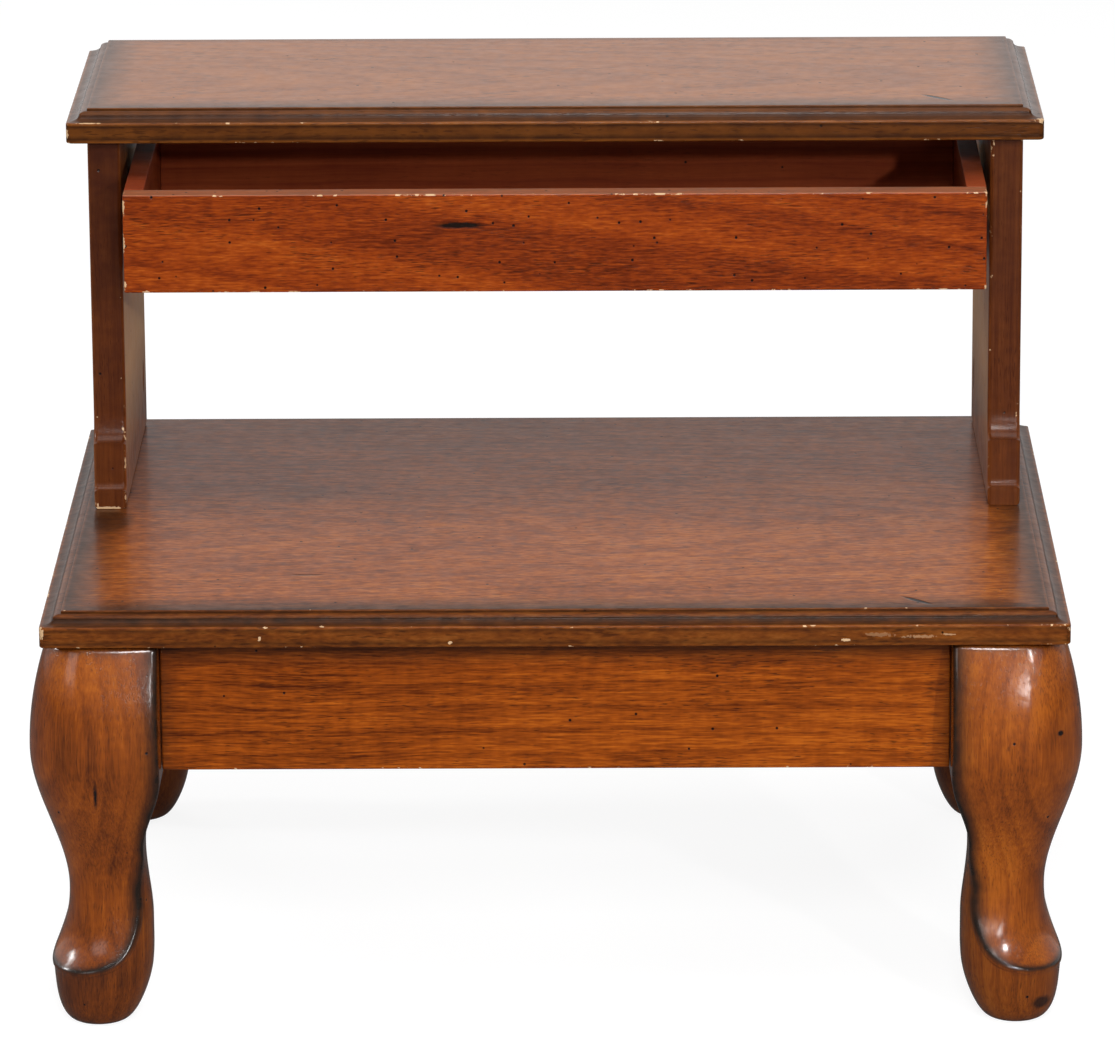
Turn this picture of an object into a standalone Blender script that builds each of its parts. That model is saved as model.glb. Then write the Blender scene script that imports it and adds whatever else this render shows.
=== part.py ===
"""Two-step bed stool with a drawer under the upper step, on four carved cabriole legs.

Metres, +Z up. The origin is on the floor under the middle of the lower board, the front faces -Y and +X is to
the right of someone who stands in front of the stool.
"""

import math

import bmesh
import bpy
from mathutils import Matrix, Vector

MM = 0.001

# Clearances
FIT = 0.3 * MM                    # gap between two pieces that touch or are glued
RUNNING_GAP = 0.5 * MM            # between a runner's edge and the bottom of its groove

# Lower board, which is the first step
LOWER_WIDTH = 560 * MM
LOWER_DEPTH = 410 * MM
LOWER_THICK = 18 * MM
LOWER_UNDERSIDE = 221 * MM        # height of its underside above the floor

# Upper board, which is the second step
UPPER_END_INSET = 5 * MM          # its ends, in from the ends of the lower board
UPPER_THICK = 18 * MM
UPPER_FRONT_OVERHANG = 12 * MM    # past the front edges of the side panels
UPPER_REAR_OVERHANG = 4 * MM

# Ogee moulding cut round the front and the two ends of both boards
MOULD_RUN = 11.4 * MM
MOULD_FILLET = 1.3 * MM           # small upright step at its inner end
BEAD_RUN = 4.4 * MM
BEAD_DROP = 2.1 * MM
MOULD_LIP = 0.6 * MM              # narrow flat outside the hollow
COVE_DROP = 2.9 * MM
ARC_STEPS = 5                     # facets of each curve of a moulding

# Side panels that carry the upper board
PANEL_END_INSET = 16 * MM         # outer faces, in from the ends of the lower board
PANEL_THICK = 18.5 * MM
PANEL_DEPTH = 178 * MM
PANEL_HEIGHT = 214 * MM           # from the lower board's top to the upper board's underside
PANEL_REAR_SETBACK = 8 * MM       # in from the lower board's rear edge
PANEL_TOE_REACH = 10.6 * MM       # the shaped foot in front of the straight edge
PANEL_TOE_HEIGHT = 11 * MM
PANEL_STEP_RUN = 3 * MM
PANEL_STEP_RISE = 4 * MM
PANEL_COVE_BASE = 38 * MM
PANEL_COVE_RISE = 16 * MM

# Aprons of the lower frame
APRON_SETBACK = 18 * MM           # faces behind the edges of the lower board
APRON_THICK = 18 * MM
APRON_HEIGHT = 75 * MM
TENON_THICK = 9 * MM
TENON_HEIGHT = 50 * MM
TENON_LENGTH = 14 * MM

# Cabriole legs. Insets are measured in from the edges of the lower board, square to each edge.
LEG_BLOCK_INNER = 64 * MM         # inner faces of the square block at the top
LEG_SHOULDER_INSET = 2.5 * MM
KNEE_DROP = 63 * MM               # knee's fullest point, below the lower board
KNEE_BULGE = 8.6 * MM             # past the edge of the lower board
KNEE_ROUND = 30 * MM              # radius of the outer corner
SHOULDER_ROUND = 22 * MM
ANKLE_HEIGHT = 76 * MM
ANKLE_INSET = 11 * MM
ANKLE_ROUND = 20 * MM
ANKLE_INNER = 53.6 * MM           # inner faces where the leg is thinnest
BLOCK_SWEEP = 44 * MM             # height in which the block narrows to the thin part
BLOCK_ARRIS = 2 * MM
TOE_HEIGHT = 33 * MM              # ridge round the top of the pad foot
TOE_FLARE = 1.6 * MM              # how far the instep runs out past the board's edge at that height
PAD_CENTRE = 29 * MM
PAD_RADIUS = 28.3 * MM
PAD_WALL_RADIUS = 26.9 * MM       # just under the ridge
PAD_SOLE_RADIUS = 14.5 * MM
PAD_CURVE = 0.42                  # exponent of the pad's rounded wall
PAD_STATIONS = (0.0, 0.03, 0.1, 0.22, 0.45, 0.72, 0.93)  # heights of its sections, as shares of the ridge's
NECK_HEIGHT = 58.8 * MM           # the pad keeps its radius above the ridge up to here
SQUARING_CURVE = 0.5              # exponent of the change from round pad to square block
LEG_RING_STEPS = 6                # facets of each corner of a section
LEG_STATION = 7 * MM              # height between two sections
SHARP_ANGLE = math.radians(32)    # edges above this stay sharp in shading

# Corner braces and the bolts that hold the legs
BRACE_THICK = 20 * MM
BRACE_HEIGHT = 40 * MM
BRACE_SEAT = 14 * MM              # chamfer on the leg's inner corner
BOLT_RADIUS = 4 * MM
BOLT_LENGTH = 50 * MM
BOLT_HEAD_RADIUS = 7.5 * MM       # across the corners of the hexagon
BOLT_HEAD_HEIGHT = 5.5 * MM

# Wood screws and dowels
SCREW_RADIUS = 1.75 * MM
SCREW_HEAD_RADIUS = 3.2 * MM
SCREW_HEAD_HEIGHT = 2.4 * MM
SCREW_TIP = 4 * MM
BOARD_SCREW_LENGTH = 45 * MM      # from under the lower board into a side panel
BRACE_SCREW_LENGTH = 50 * MM      # up through a corner brace into the lower board
BRACE_SCREW_OFFSET = 17 * MM      # along the brace, from its bolt
RUNNER_SCREW_LENGTH = 20 * MM
POCKET_SCREW_LENGTH = 38 * MM
BOARD_SCREW_FRONT = 40 * MM       # behind the panel's straight front edge
BOARD_SCREW_REAR = 70 * MM        # ahead of the panel's rear edge
POCKET_RADIUS = 3.5 * MM
POCKET_ANGLE = math.radians(20)   # from upright
POCKET_RISE = 35 * MM             # where its axis leaves the panel's inner face
POCKET_SHOULDER = 12 * MM         # the screw's seat below that, along the panel
POCKET_REAR = 24 * MM             # ahead of the panel's rear edge
DOWEL_RADIUS = 4 * MM
DOWEL_LENGTH = 28 * MM
DOWEL_IN_BOARD = 11 * MM
DOWEL_INSET = 42 * MM             # in from the panel's front and rear edges
ROUND_SIDES = 12

# Drawer and its runners
DRAWER_OUT = 48.5 * MM            # how far it stands open; closed, its face is flush with the panels' edges
DRAWER_SIDE_GAP = 4 * MM
DRAWER_TOP_GAP = 21.2 * MM        # finger gap under the upper board
DRAWER_HEIGHT = 56.2 * MM
DRAWER_DEPTH = 176 * MM
DRAWER_FRONT_THICK = 14 * MM
DRAWER_SIDE_THICK = 11 * MM
DRAWER_BACK_THICK = 11 * MM
DRAWER_BOTTOM_THICK = 4 * MM
DRAWER_BOTTOM_RISE = 6 * MM       # its underside above the drawer's lower edge
BOTTOM_GROOVE_DEPTH = 4 * MM
RUNNER_HEIGHT = 9.4 * MM
RUNNER_RISE = 23 * MM             # its underside above the drawer's lower edge
RUNNER_GROOVE_DEPTH = 6 * MM
RUNNER_STOP = 8 * MM              # the groove ends this far behind the drawer front
RUNNER_REAR_INSET = 3 * MM        # ahead of the panels' rear edges
RUNNER_SCREW_INSET = 22 * MM      # from each end of a runner

# Places worked out from the sizes above
HALF_WIDTH = LOWER_WIDTH / 2
HALF_DEPTH = LOWER_DEPTH / 2
LOWER_TOP = LOWER_UNDERSIDE + LOWER_THICK
UPPER_UNDERSIDE = LOWER_TOP + PANEL_HEIGHT
PANEL_OUTER = HALF_WIDTH - PANEL_END_INSET
PANEL_INNER = PANEL_OUTER - PANEL_THICK
PANEL_REAR = HALF_DEPTH - PANEL_REAR_SETBACK
PANEL_FRONT = PANEL_REAR - PANEL_DEPTH
FRAME_TOP = LOWER_UNDERSIDE - FIT
APRON_BOTTOM = FRAME_TOP - APRON_HEIGHT
TENON_BOTTOM = APRON_BOTTOM + (APRON_HEIGHT - TENON_HEIGHT) / 2
APRON_INNER = APRON_SETBACK + APRON_THICK
TENON_INSET = APRON_SETBACK + APRON_THICK / 2
BOLT_HEIGHT = FRAME_TOP - BRACE_HEIGHT / 2
DRAWER_FACE = PANEL_FRONT - DRAWER_OUT
DRAWER_REAR = DRAWER_FACE + DRAWER_DEPTH
DRAWER_TOP = UPPER_UNDERSIDE - DRAWER_TOP_GAP
DRAWER_BOTTOM = DRAWER_TOP - DRAWER_HEIGHT
DRAWER_HALF = PANEL_INNER - DRAWER_SIDE_GAP
DRAWER_INNER = DRAWER_HALF - DRAWER_SIDE_THICK
DRAWER_BOX_FRONT = DRAWER_FACE + DRAWER_FRONT_THICK
BOTTOM_UNDERSIDE = DRAWER_BOTTOM + DRAWER_BOTTOM_RISE
BOTTOM_TOP = BOTTOM_UNDERSIDE + DRAWER_BOTTOM_THICK
RUNNER_UNDERSIDE = DRAWER_BOTTOM + RUNNER_RISE
RUNNER_TOP = RUNNER_UNDERSIDE + RUNNER_HEIGHT
RUNNER_FRONT = PANEL_FRONT + DRAWER_FRONT_THICK + RUNNER_STOP + FIT
RUNNER_REAR = PANEL_REAR - RUNNER_REAR_INSET

SIDES = (("left", -1), ("right", 1))
ENDS = (("front", -1), ("back", 1))
CORNERS = [(f"{end}_{side}", sx, sy) for end, sy in ENDS for side, sx in SIDES]


# Scene, collections and materials

def clear_scene():
    for obj in list(bpy.data.objects):
        bpy.data.objects.remove(obj, do_unlink=True)


def new_collection(name):
    collection = bpy.data.collections.new(name)
    bpy.context.scene.collection.children.link(collection)
    return collection


def finish(name, colour, roughness, metallic=0.0):
    material = bpy.data.materials.new(name)
    material.use_nodes = True
    shader = material.node_tree.nodes["Principled BSDF"]
    shader.inputs["Base Color"].default_value = (*colour, 1.0)
    shader.inputs["Roughness"].default_value = roughness
    shader.inputs["Metallic"].default_value = metallic
    return material


def new_empty(name, location):
    empty = bpy.data.objects.new(name, None)
    empty.location = location
    parts.objects.link(empty)
    return empty


def add_part(name, mesh, location, material, carrier):
    mesh.name = name
    mesh.materials.clear()
    mesh.materials.append(material)
    mesh.set_sharp_from_angle(angle=SHARP_ANGLE)
    obj = bpy.data.objects.new(name, mesh)
    parts.objects.link(obj)
    obj.parent = carrier
    obj.location = Vector(location) - carrier.location
    return obj


def add_cutter(name, mesh, location):
    mesh.name = name
    obj = bpy.data.objects.new(name, mesh)
    obj.location = location
    obj.hide_render = True
    obj.display_type = "WIRE"
    cutters.objects.link(obj)
    return obj


def boolean(target, cutter, operation="DIFFERENCE"):
    modifier = target.modifiers.new(cutter.name, "BOOLEAN")
    modifier.operation = operation
    modifier.solver = "EXACT"
    modifier.object = cutter


# Shapes

def to_mesh(bm, name):
    mesh = bpy.data.meshes.new(name)
    bm.to_mesh(mesh)
    bm.free()
    return mesh


def box_mesh(low, high):
    size = Vector(high) - Vector(low)
    bm = bmesh.new()
    bmesh.ops.create_cube(bm, size=1.0)
    bmesh.ops.scale(bm, vec=size, verts=bm.verts)
    return to_mesh(bm, "box"), (Vector(low) + Vector(high)) / 2


def box_part(name, low, high, material, carrier):
    mesh, centre = box_mesh(low, high)
    return add_part(name, mesh, centre, material, carrier)


def box_cut(target, name, low, high, operation="DIFFERENCE"):
    mesh, centre = box_mesh(low, high)
    boolean(target, add_cutter(name, mesh, centre), operation)


def prism_mesh(outline, thickness, turn):
    """Extrudes a flat outline by equal halves to both sides of its plane, then turns it."""
    curve = bpy.data.curves.new("outline", "CURVE")
    curve.dimensions = "2D"
    curve.fill_mode = "BOTH"
    curve.extrude = thickness / 2
    spline = curve.splines.new("POLY")
    spline.points.add(len(outline) - 1)
    for point, (x, y) in zip(spline.points, outline):
        point.co = (x, y, 0.0, 1.0)
    spline.use_cyclic_u = True
    holder = bpy.data.objects.new("outline", curve)
    bpy.context.scene.collection.objects.link(holder)
    bpy.context.view_layer.update()
    mesh = bpy.data.meshes.new_from_object(holder.evaluated_get(bpy.context.evaluated_depsgraph_get()))
    bpy.data.objects.remove(holder, do_unlink=True)
    bm = bmesh.new()
    bm.from_mesh(mesh)
    bmesh.ops.remove_doubles(bm, verts=bm.verts, dist=1e-6)
    bmesh.ops.transform(bm, matrix=turn, verts=bm.verts)
    bmesh.ops.recalc_face_normals(bm, faces=bm.faces)
    bm.to_mesh(mesh)
    bm.free()
    return mesh


def rod_mesh(radius, length, direction, sides=ROUND_SIDES):
    bm = bmesh.new()
    bmesh.ops.create_cone(bm, cap_ends=True, segments=sides, radius1=radius, radius2=radius, depth=length)
    aim = Vector(direction).to_track_quat("Z", "Y").to_matrix().to_4x4()
    bmesh.ops.transform(bm, matrix=aim, verts=bm.verts)
    return to_mesh(bm, "rod")


def drill(target, name, start, direction, depth, radius, sides=ROUND_SIDES):
    """Cuts a round hole from a start point along a direction; it begins a little ahead of the start."""
    along = Vector(direction).normalized()
    lead = 2 * MM
    middle = Vector(start) + along * (depth - lead) / 2
    boolean(target, add_cutter(name, rod_mesh(radius, depth + lead, along, sides), middle))


def screw_mesh(length, direction, flat_seat=False):
    """A wood screw turned round its axis, with its head's face at the origin."""
    profile = [(0.0, 0.0), (SCREW_HEAD_RADIUS, 0.0)]
    if flat_seat:
        profile.append((SCREW_HEAD_RADIUS, -SCREW_HEAD_HEIGHT))
    profile += [(SCREW_RADIUS, -SCREW_HEAD_HEIGHT), (SCREW_RADIUS, SCREW_TIP - length), (0.0, -length)]
    bm = bmesh.new()
    points = [bm.verts.new((radius, 0.0, height)) for radius, height in profile]
    for upper, lower in zip(points, points[1:]):
        bm.edges.new((upper, lower))
    bmesh.ops.spin(
        bm,
        geom=bm.verts[:] + bm.edges[:],
        cent=(0, 0, 0),
        axis=(0, 0, 1),
        angle=math.tau,
        steps=ROUND_SIDES,
        use_merge=True,
    )
    bmesh.ops.remove_doubles(bm, verts=bm.verts, dist=1e-6)
    aim = Vector(direction).to_track_quat("-Z", "Y").to_matrix().to_4x4()
    bmesh.ops.transform(bm, matrix=aim, verts=bm.verts)
    bmesh.ops.recalc_face_normals(bm, faces=bm.faces)
    return to_mesh(bm, "screw")


def countersink(target, name, start, direction):
    """Cuts the seat of a countersunk head, with the hole's mouth at the start point."""
    along = Vector(direction).normalized()
    slope = (SCREW_HEAD_RADIUS - SCREW_RADIUS) / SCREW_HEAD_HEIGHT
    lead = 1 * MM
    wide = SCREW_HEAD_RADIUS + FIT + lead * slope
    depth = SCREW_HEAD_HEIGHT + lead
    bm = bmesh.new()
    bmesh.ops.create_cone(
        bm, cap_ends=True, segments=ROUND_SIDES, radius1=wide, radius2=wide - depth * slope, depth=depth
    )
    aim = along.to_track_quat("Z", "Y").to_matrix().to_4x4()
    bmesh.ops.transform(bm, matrix=aim, verts=bm.verts)
    middle = Vector(start) + along * (depth / 2 - lead)
    boolean(target, add_cutter(name, to_mesh(bm, "countersink"), middle))


def loft_mesh(rings):
    """Skins closed sections of equal point counts, and caps both ends."""
    bm = bmesh.new()
    loops = [[bm.verts.new(point) for point in ring] for ring in rings]
    for below, above in zip(loops, loops[1:]):
        for i in range(len(below)):
            j = (i + 1) % len(below)
            bm.faces.new((below[i], below[j], above[j], above[i]))
    bm.faces.new(loops[0])
    bm.faces.new(loops[-1])
    bmesh.ops.triangulate(bm, faces=bm.faces)
    bmesh.ops.recalc_face_normals(bm, faces=bm.faces)
    return to_mesh(bm, "loft")


def ease(t):
    t = min(max(t, 0.0), 1.0)
    return t * t * (3 - 2 * t)


def blend(a, b, t):
    return a + (b - a) * t


def stations(low, high, spacing):
    count = max(1, math.ceil((high - low) / spacing))
    return [blend(low, high, i / count) for i in range(count + 1)]


# Boards

def moulding_outline():
    """What is cut off a board's top edge: x runs in from the edge, and y is the height above the top."""
    clear = 3 * MM
    bead_end = MOULD_RUN - BEAD_RUN
    bead_top = -MOULD_FILLET
    cove_top = bead_top - BEAD_DROP
    cove_run = bead_end - MOULD_LIP
    points = [(-clear, clear), (MOULD_RUN, clear), (MOULD_RUN, bead_top)]
    for i in range(1, ARC_STEPS + 1):
        angle = math.pi / 2 * i / ARC_STEPS
        points.append((MOULD_RUN - BEAD_RUN * math.sin(angle), cove_top + BEAD_DROP * math.cos(angle)))
    for i in range(1, ARC_STEPS + 1):
        angle = math.pi / 2 * i / ARC_STEPS
        points.append((MOULD_LIP + cove_run * math.cos(angle), cove_top - COVE_DROP * math.sin(angle)))
    points.append((-clear, cove_top - COVE_DROP))
    return points


def moulded_board(name, half_width, front, rear, bottom, thick):
    board = box_part(name, (-half_width, front, bottom), (half_width, rear, bottom + thick), cherry, stool)
    outline = moulding_outline()
    reach = 20 * MM
    # The outline's x axis points in from each edge and its y axis points up.
    frames = {
        "front": ((0, 1, 0), (0, front, 0), 2 * (half_width + reach)),
        "left": ((1, 0, 0), (-half_width, (front + rear) / 2, 0), rear - front + 2 * reach),
        "right": ((-1, 0, 0), (half_width, (front + rear) / 2, 0), rear - front + 2 * reach),
    }
    for edge, (inward, middle, length) in frames.items():
        x_axis = Vector(inward)
        y_axis = Vector((0, 0, 1))
        turn = Matrix((x_axis, y_axis, x_axis.cross(y_axis))).transposed().to_4x4()
        place = Vector((middle[0], middle[1], bottom + thick))
        boolean(board, add_cutter(f"{name}_{edge}_moulding", prism_mesh(outline, length, turn), place))
    return board


# Side panels

def panel_outline():
    """Seen from the side: x runs back from the panel's straight front edge, y up from the lower board."""
    step = -PANEL_TOE_REACH + PANEL_STEP_RUN
    points = [(PANEL_DEPTH, FIT), (PANEL_DEPTH, PANEL_HEIGHT - FIT), (0.0, PANEL_HEIGHT - FIT)]
    cove_top = PANEL_COVE_BASE + PANEL_COVE_RISE
    for i in range(ARC_STEPS + 1):
        angle = math.pi / 2 * i / ARC_STEPS
        points.append((step * (1 - math.cos(angle)), cove_top - PANEL_COVE_RISE * math.sin(angle)))
    step_top = PANEL_TOE_HEIGHT + PANEL_STEP_RISE
    for i in range(ARC_STEPS + 1):
        angle = math.pi / 2 * i / ARC_STEPS
        x = step - PANEL_STEP_RUN * (1 - math.cos(angle))
        points.append((x, step_top - PANEL_STEP_RISE * math.sin(angle)))
    points.append((-PANEL_TOE_REACH, FIT))
    return points


def side_panel(side, sx):
    turn = Matrix(((0, 0, 1), (1, 0, 0), (0, 1, 0))).to_4x4()
    mesh = prism_mesh(panel_outline(), PANEL_THICK, turn)
    middle = sx * (PANEL_OUTER - PANEL_THICK / 2)
    return add_part(f"side_panel_{side}", mesh, (middle, PANEL_FRONT, LOWER_TOP), cherry, stool)


# Legs

def corner_point(sx, sy, a, b, z):
    """A point by its insets from the lower board's side edge (a) and front or rear edge (b)."""
    return Vector((sx * (HALF_WIDTH - a), sy * (HALF_DEPTH - b), z))


def instep_inset(z):
    """Inset of the sawn outer curve: shoulder, knee, ankle and toe."""
    knee = LOWER_UNDERSIDE - KNEE_DROP
    if z >= knee:
        share = (z - knee) / KNEE_DROP
        return blend(-KNEE_BULGE, LEG_SHOULDER_INSET, share * share)
    if z >= ANKLE_HEIGHT:
        return blend(-KNEE_BULGE, ANKLE_INSET, ease((knee - z) / (knee - ANKLE_HEIGHT)))
    share = (ANKLE_HEIGHT - z) / (ANKLE_HEIGHT - TOE_HEIGHT)
    return ANKLE_INSET - (ANKLE_INSET + TOE_FLARE) * share * share


def outer_round(z):
    knee = LOWER_UNDERSIDE - KNEE_DROP
    if z >= knee:
        return blend(KNEE_ROUND, SHOULDER_ROUND, ease((z - knee) / KNEE_DROP))
    return blend(ANKLE_ROUND, KNEE_ROUND, ease((z - ANKLE_HEIGHT) / (knee - ANKLE_HEIGHT)))


def instep_ring(sx, sy, z):
    """Section of the sawn blank: two outer faces with a rounded corner between them."""
    far = 2 * LEG_BLOCK_INNER
    inset = instep_inset(z)
    radius = outer_round(z)
    ring = [(far, inset)]
    for i in range(2 * LEG_RING_STEPS + 1):
        angle = math.pi / 2 * i / (2 * LEG_RING_STEPS)
        ring.append((inset + radius * (1 - math.sin(angle)), inset + radius * (1 - math.cos(angle))))
    ring += [(inset, far), (far, far)]
    return [corner_point(sx, sy, a, b, z) for a, b in ring]


def column_section(z):
    """Outer inset, inner inset and corner radius of the turned pad and the block above it."""
    pad_inner = PAD_CENTRE + PAD_RADIUS
    block_foot = APRON_BOTTOM
    sweep_foot = block_foot - BLOCK_SWEEP
    if z < TOE_HEIGHT:
        radius = blend(PAD_SOLE_RADIUS, PAD_WALL_RADIUS, (z / TOE_HEIGHT) ** PAD_CURVE)
        return PAD_CENTRE - radius, PAD_CENTRE + radius, radius
    if z >= sweep_foot:
        inner = blend(ANKLE_INNER, LEG_BLOCK_INNER, ease((z - sweep_foot) / BLOCK_SWEEP))
    else:
        inner = blend(pad_inner, ANKLE_INNER, ease((z - NECK_HEIGHT) / (sweep_foot - NECK_HEIGHT)))
    square = ease((z - ANKLE_HEIGHT) / (block_foot - ANKLE_HEIGHT))
    outer = blend(PAD_CENTRE - PAD_RADIUS, -2 * KNEE_BULGE - PAD_RADIUS, square)
    half = (inner - outer) / 2
    return outer, inner, blend(half, BLOCK_ARRIS, square ** SQUARING_CURVE)


def column_ring(sx, sy, z, section):
    outer, inner, radius = section
    ring = []
    for quarter, (a, b) in enumerate(((inner, inner), (outer, inner), (outer, outer), (inner, outer))):
        centre_a = a - math.copysign(radius, a - (inner + outer) / 2)
        centre_b = b - math.copysign(radius, b - (inner + outer) / 2)
        for i in range(LEG_RING_STEPS + 1):
            angle = math.pi / 2 * (quarter + (i + 0.5) / (LEG_RING_STEPS + 1))
            ring.append((centre_a + radius * math.cos(angle), centre_b + radius * math.sin(angle)))
    return [corner_point(sx, sy, a, b, z) for a, b in ring]


def cabriole_leg(corner, sx, sy):
    pad_heights = [TOE_HEIGHT * share for share in PAD_STATIONS]
    heights = pad_heights + stations(TOE_HEIGHT, APRON_BOTTOM, LEG_STATION) + [FRAME_TOP]
    column = loft_mesh([column_ring(sx, sy, z, column_section(z)) for z in heights])
    leg = add_part(f"leg_{corner}", column, (0, 0, 0), cherry, stool)
    sawn_heights = stations(-LEG_STATION, FRAME_TOP + LEG_STATION, LEG_STATION)
    sawn = loft_mesh([instep_ring(sx, sy, z) for z in sawn_heights])
    boolean(leg, add_cutter(f"leg_{corner}_sawn_curve", sawn, (0, 0, 0)), "INTERSECT")

    # Mortises for the front or back apron and for the side apron
    depth = LEG_BLOCK_INNER - TENON_LENGTH - FIT
    reach = LEG_BLOCK_INNER + LEG_STATION
    near = TENON_INSET - TENON_THICK / 2 - FIT
    far = TENON_INSET + TENON_THICK / 2 + FIT
    low = TENON_BOTTOM - FIT
    high = TENON_BOTTOM + TENON_HEIGHT + FIT
    for name, ends in (("cross", ((depth, near), (reach, far))), ("long", ((near, depth), (far, reach)))):
        spots = [corner_point(sx, sy, a, b, z) for (a, b), z in zip(ends, (low, high))]
        lower = [min(values) for values in zip(*spots)]
        upper = [max(values) for values in zip(*spots)]
        box_cut(leg, f"leg_{corner}_{name}_mortise", lower, upper)

    # Seat for the corner brace, and the bolt's hole
    seat = 2 * LEG_BLOCK_INNER - BRACE_SEAT
    wide = LEG_BLOCK_INNER + LEG_STATION
    insets = ((wide, seat - wide), (wide, wide), (seat - wide, wide))
    outline = [corner_point(sx, sy, a, b, 0).xy for a, b in insets]
    tall = BRACE_HEIGHT + 2 * FIT
    place = (0, 0, FRAME_TOP + FIT - tall / 2)
    boolean(leg, add_cutter(f"leg_{corner}_brace_seat", prism_mesh(outline, tall, Matrix()), place))
    inward = Vector((-sx, -sy, 0)).normalized()
    start = corner_point(sx, sy, seat / 2, seat / 2, BOLT_HEIGHT)
    depth = BOLT_LENGTH - BRACE_THICK + FIT
    drill(leg, f"leg_{corner}_bolt_hole", start, -inward, depth, BOLT_RADIUS + FIT)
    return leg


# Aprons

def apron(name, along_x, sign):
    outer = (HALF_DEPTH if along_x else HALF_WIDTH) - APRON_SETBACK
    near, far = sorted((sign * outer, sign * (outer - APRON_THICK)))
    half = (HALF_WIDTH if along_x else HALF_DEPTH) - LEG_BLOCK_INNER - FIT
    middle = (near + far) / 2
    tenon_near = middle - TENON_THICK / 2
    tenon_far = middle + TENON_THICK / 2
    tenon_half = half + FIT + TENON_LENGTH
    tenon_top = TENON_BOTTOM + TENON_HEIGHT
    if along_x:
        piece = box_part(name, (-half, near, APRON_BOTTOM), (half, far, FRAME_TOP), cherry, stool)
        tenons = ((-tenon_half, tenon_near, TENON_BOTTOM), (tenon_half, tenon_far, tenon_top))
    else:
        piece = box_part(name, (near, -half, APRON_BOTTOM), (far, half, FRAME_TOP), cherry, stool)
        tenons = ((tenon_near, -tenon_half, TENON_BOTTOM), (tenon_far, tenon_half, tenon_top))
    box_cut(piece, f"{name}_tenons", *tenons, operation="UNION")
    return piece


# Corner braces with their bolts and screws

def corner_brace(corner, sx, sy):
    seat = 2 * LEG_BLOCK_INNER - BRACE_SEAT + FIT * math.sqrt(2)
    back = seat + BRACE_THICK * math.sqrt(2)
    end = APRON_INNER + FIT
    insets = ((end, seat - end), (seat - end, end), (back - end, end), (end, back - end))
    outline = [corner_point(sx, sy, a, b, 0).xy for a, b in insets]
    place = (0, 0, FRAME_TOP - BRACE_HEIGHT / 2)
    mesh = prism_mesh(outline, BRACE_HEIGHT, Matrix())
    brace = add_part(f"corner_brace_{corner}", mesh, place, pine, stool)

    inward = Vector((-sx, -sy, 0)).normalized()
    behind = corner_point(sx, sy, back / 2, back / 2, BOLT_HEIGHT)
    drill(brace, f"corner_brace_{corner}_bolt_hole", behind, -inward, 2 * BRACE_THICK, BOLT_RADIUS + FIT)
    leg_bolt(corner, behind + inward * FIT, -inward)

    sideways = Vector((-sy, sx, 0)).normalized()
    centre = behind - inward * BRACE_THICK / 2 + sideways * BRACE_SCREW_OFFSET
    foot = Vector((centre.x, centre.y, FRAME_TOP - BRACE_HEIGHT))
    up = (0, 0, 1)
    drill(brace, f"corner_brace_{corner}_screw_hole", foot, up, 2 * BRACE_HEIGHT, SCREW_RADIUS + FIT)
    countersink(brace, f"corner_brace_{corner}_countersink", foot, up)
    add_part(f"brace_screw_{corner}", screw_mesh(BRACE_SCREW_LENGTH, up), foot, steel, stool)
    into_board = BRACE_SCREW_LENGTH - BRACE_HEIGHT
    mouth = Vector((centre.x, centre.y, LOWER_UNDERSIDE))
    drill(lower_board, f"lower_board_brace_hole_{corner}", mouth, up, into_board, SCREW_RADIUS + FIT)


def leg_bolt(corner, under_head, along):
    """A hexagon-headed bolt; under_head is the middle of the head's bearing face."""
    shank = rod_mesh(BOLT_RADIUS, BOLT_LENGTH + BOLT_HEAD_HEIGHT / 2, along)
    middle = under_head + along * (BOLT_LENGTH - BOLT_HEAD_HEIGHT / 2) / 2
    bolt = add_part(f"leg_bolt_{corner}", shank, middle, steel, stool)
    head = rod_mesh(BOLT_HEAD_RADIUS, BOLT_HEAD_HEIGHT, along, sides=6)
    place = under_head - along * BOLT_HEAD_HEIGHT / 2
    boolean(bolt, add_cutter(f"leg_bolt_{corner}_head", head, place), "UNION")


# Fixings of the side panels

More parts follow.
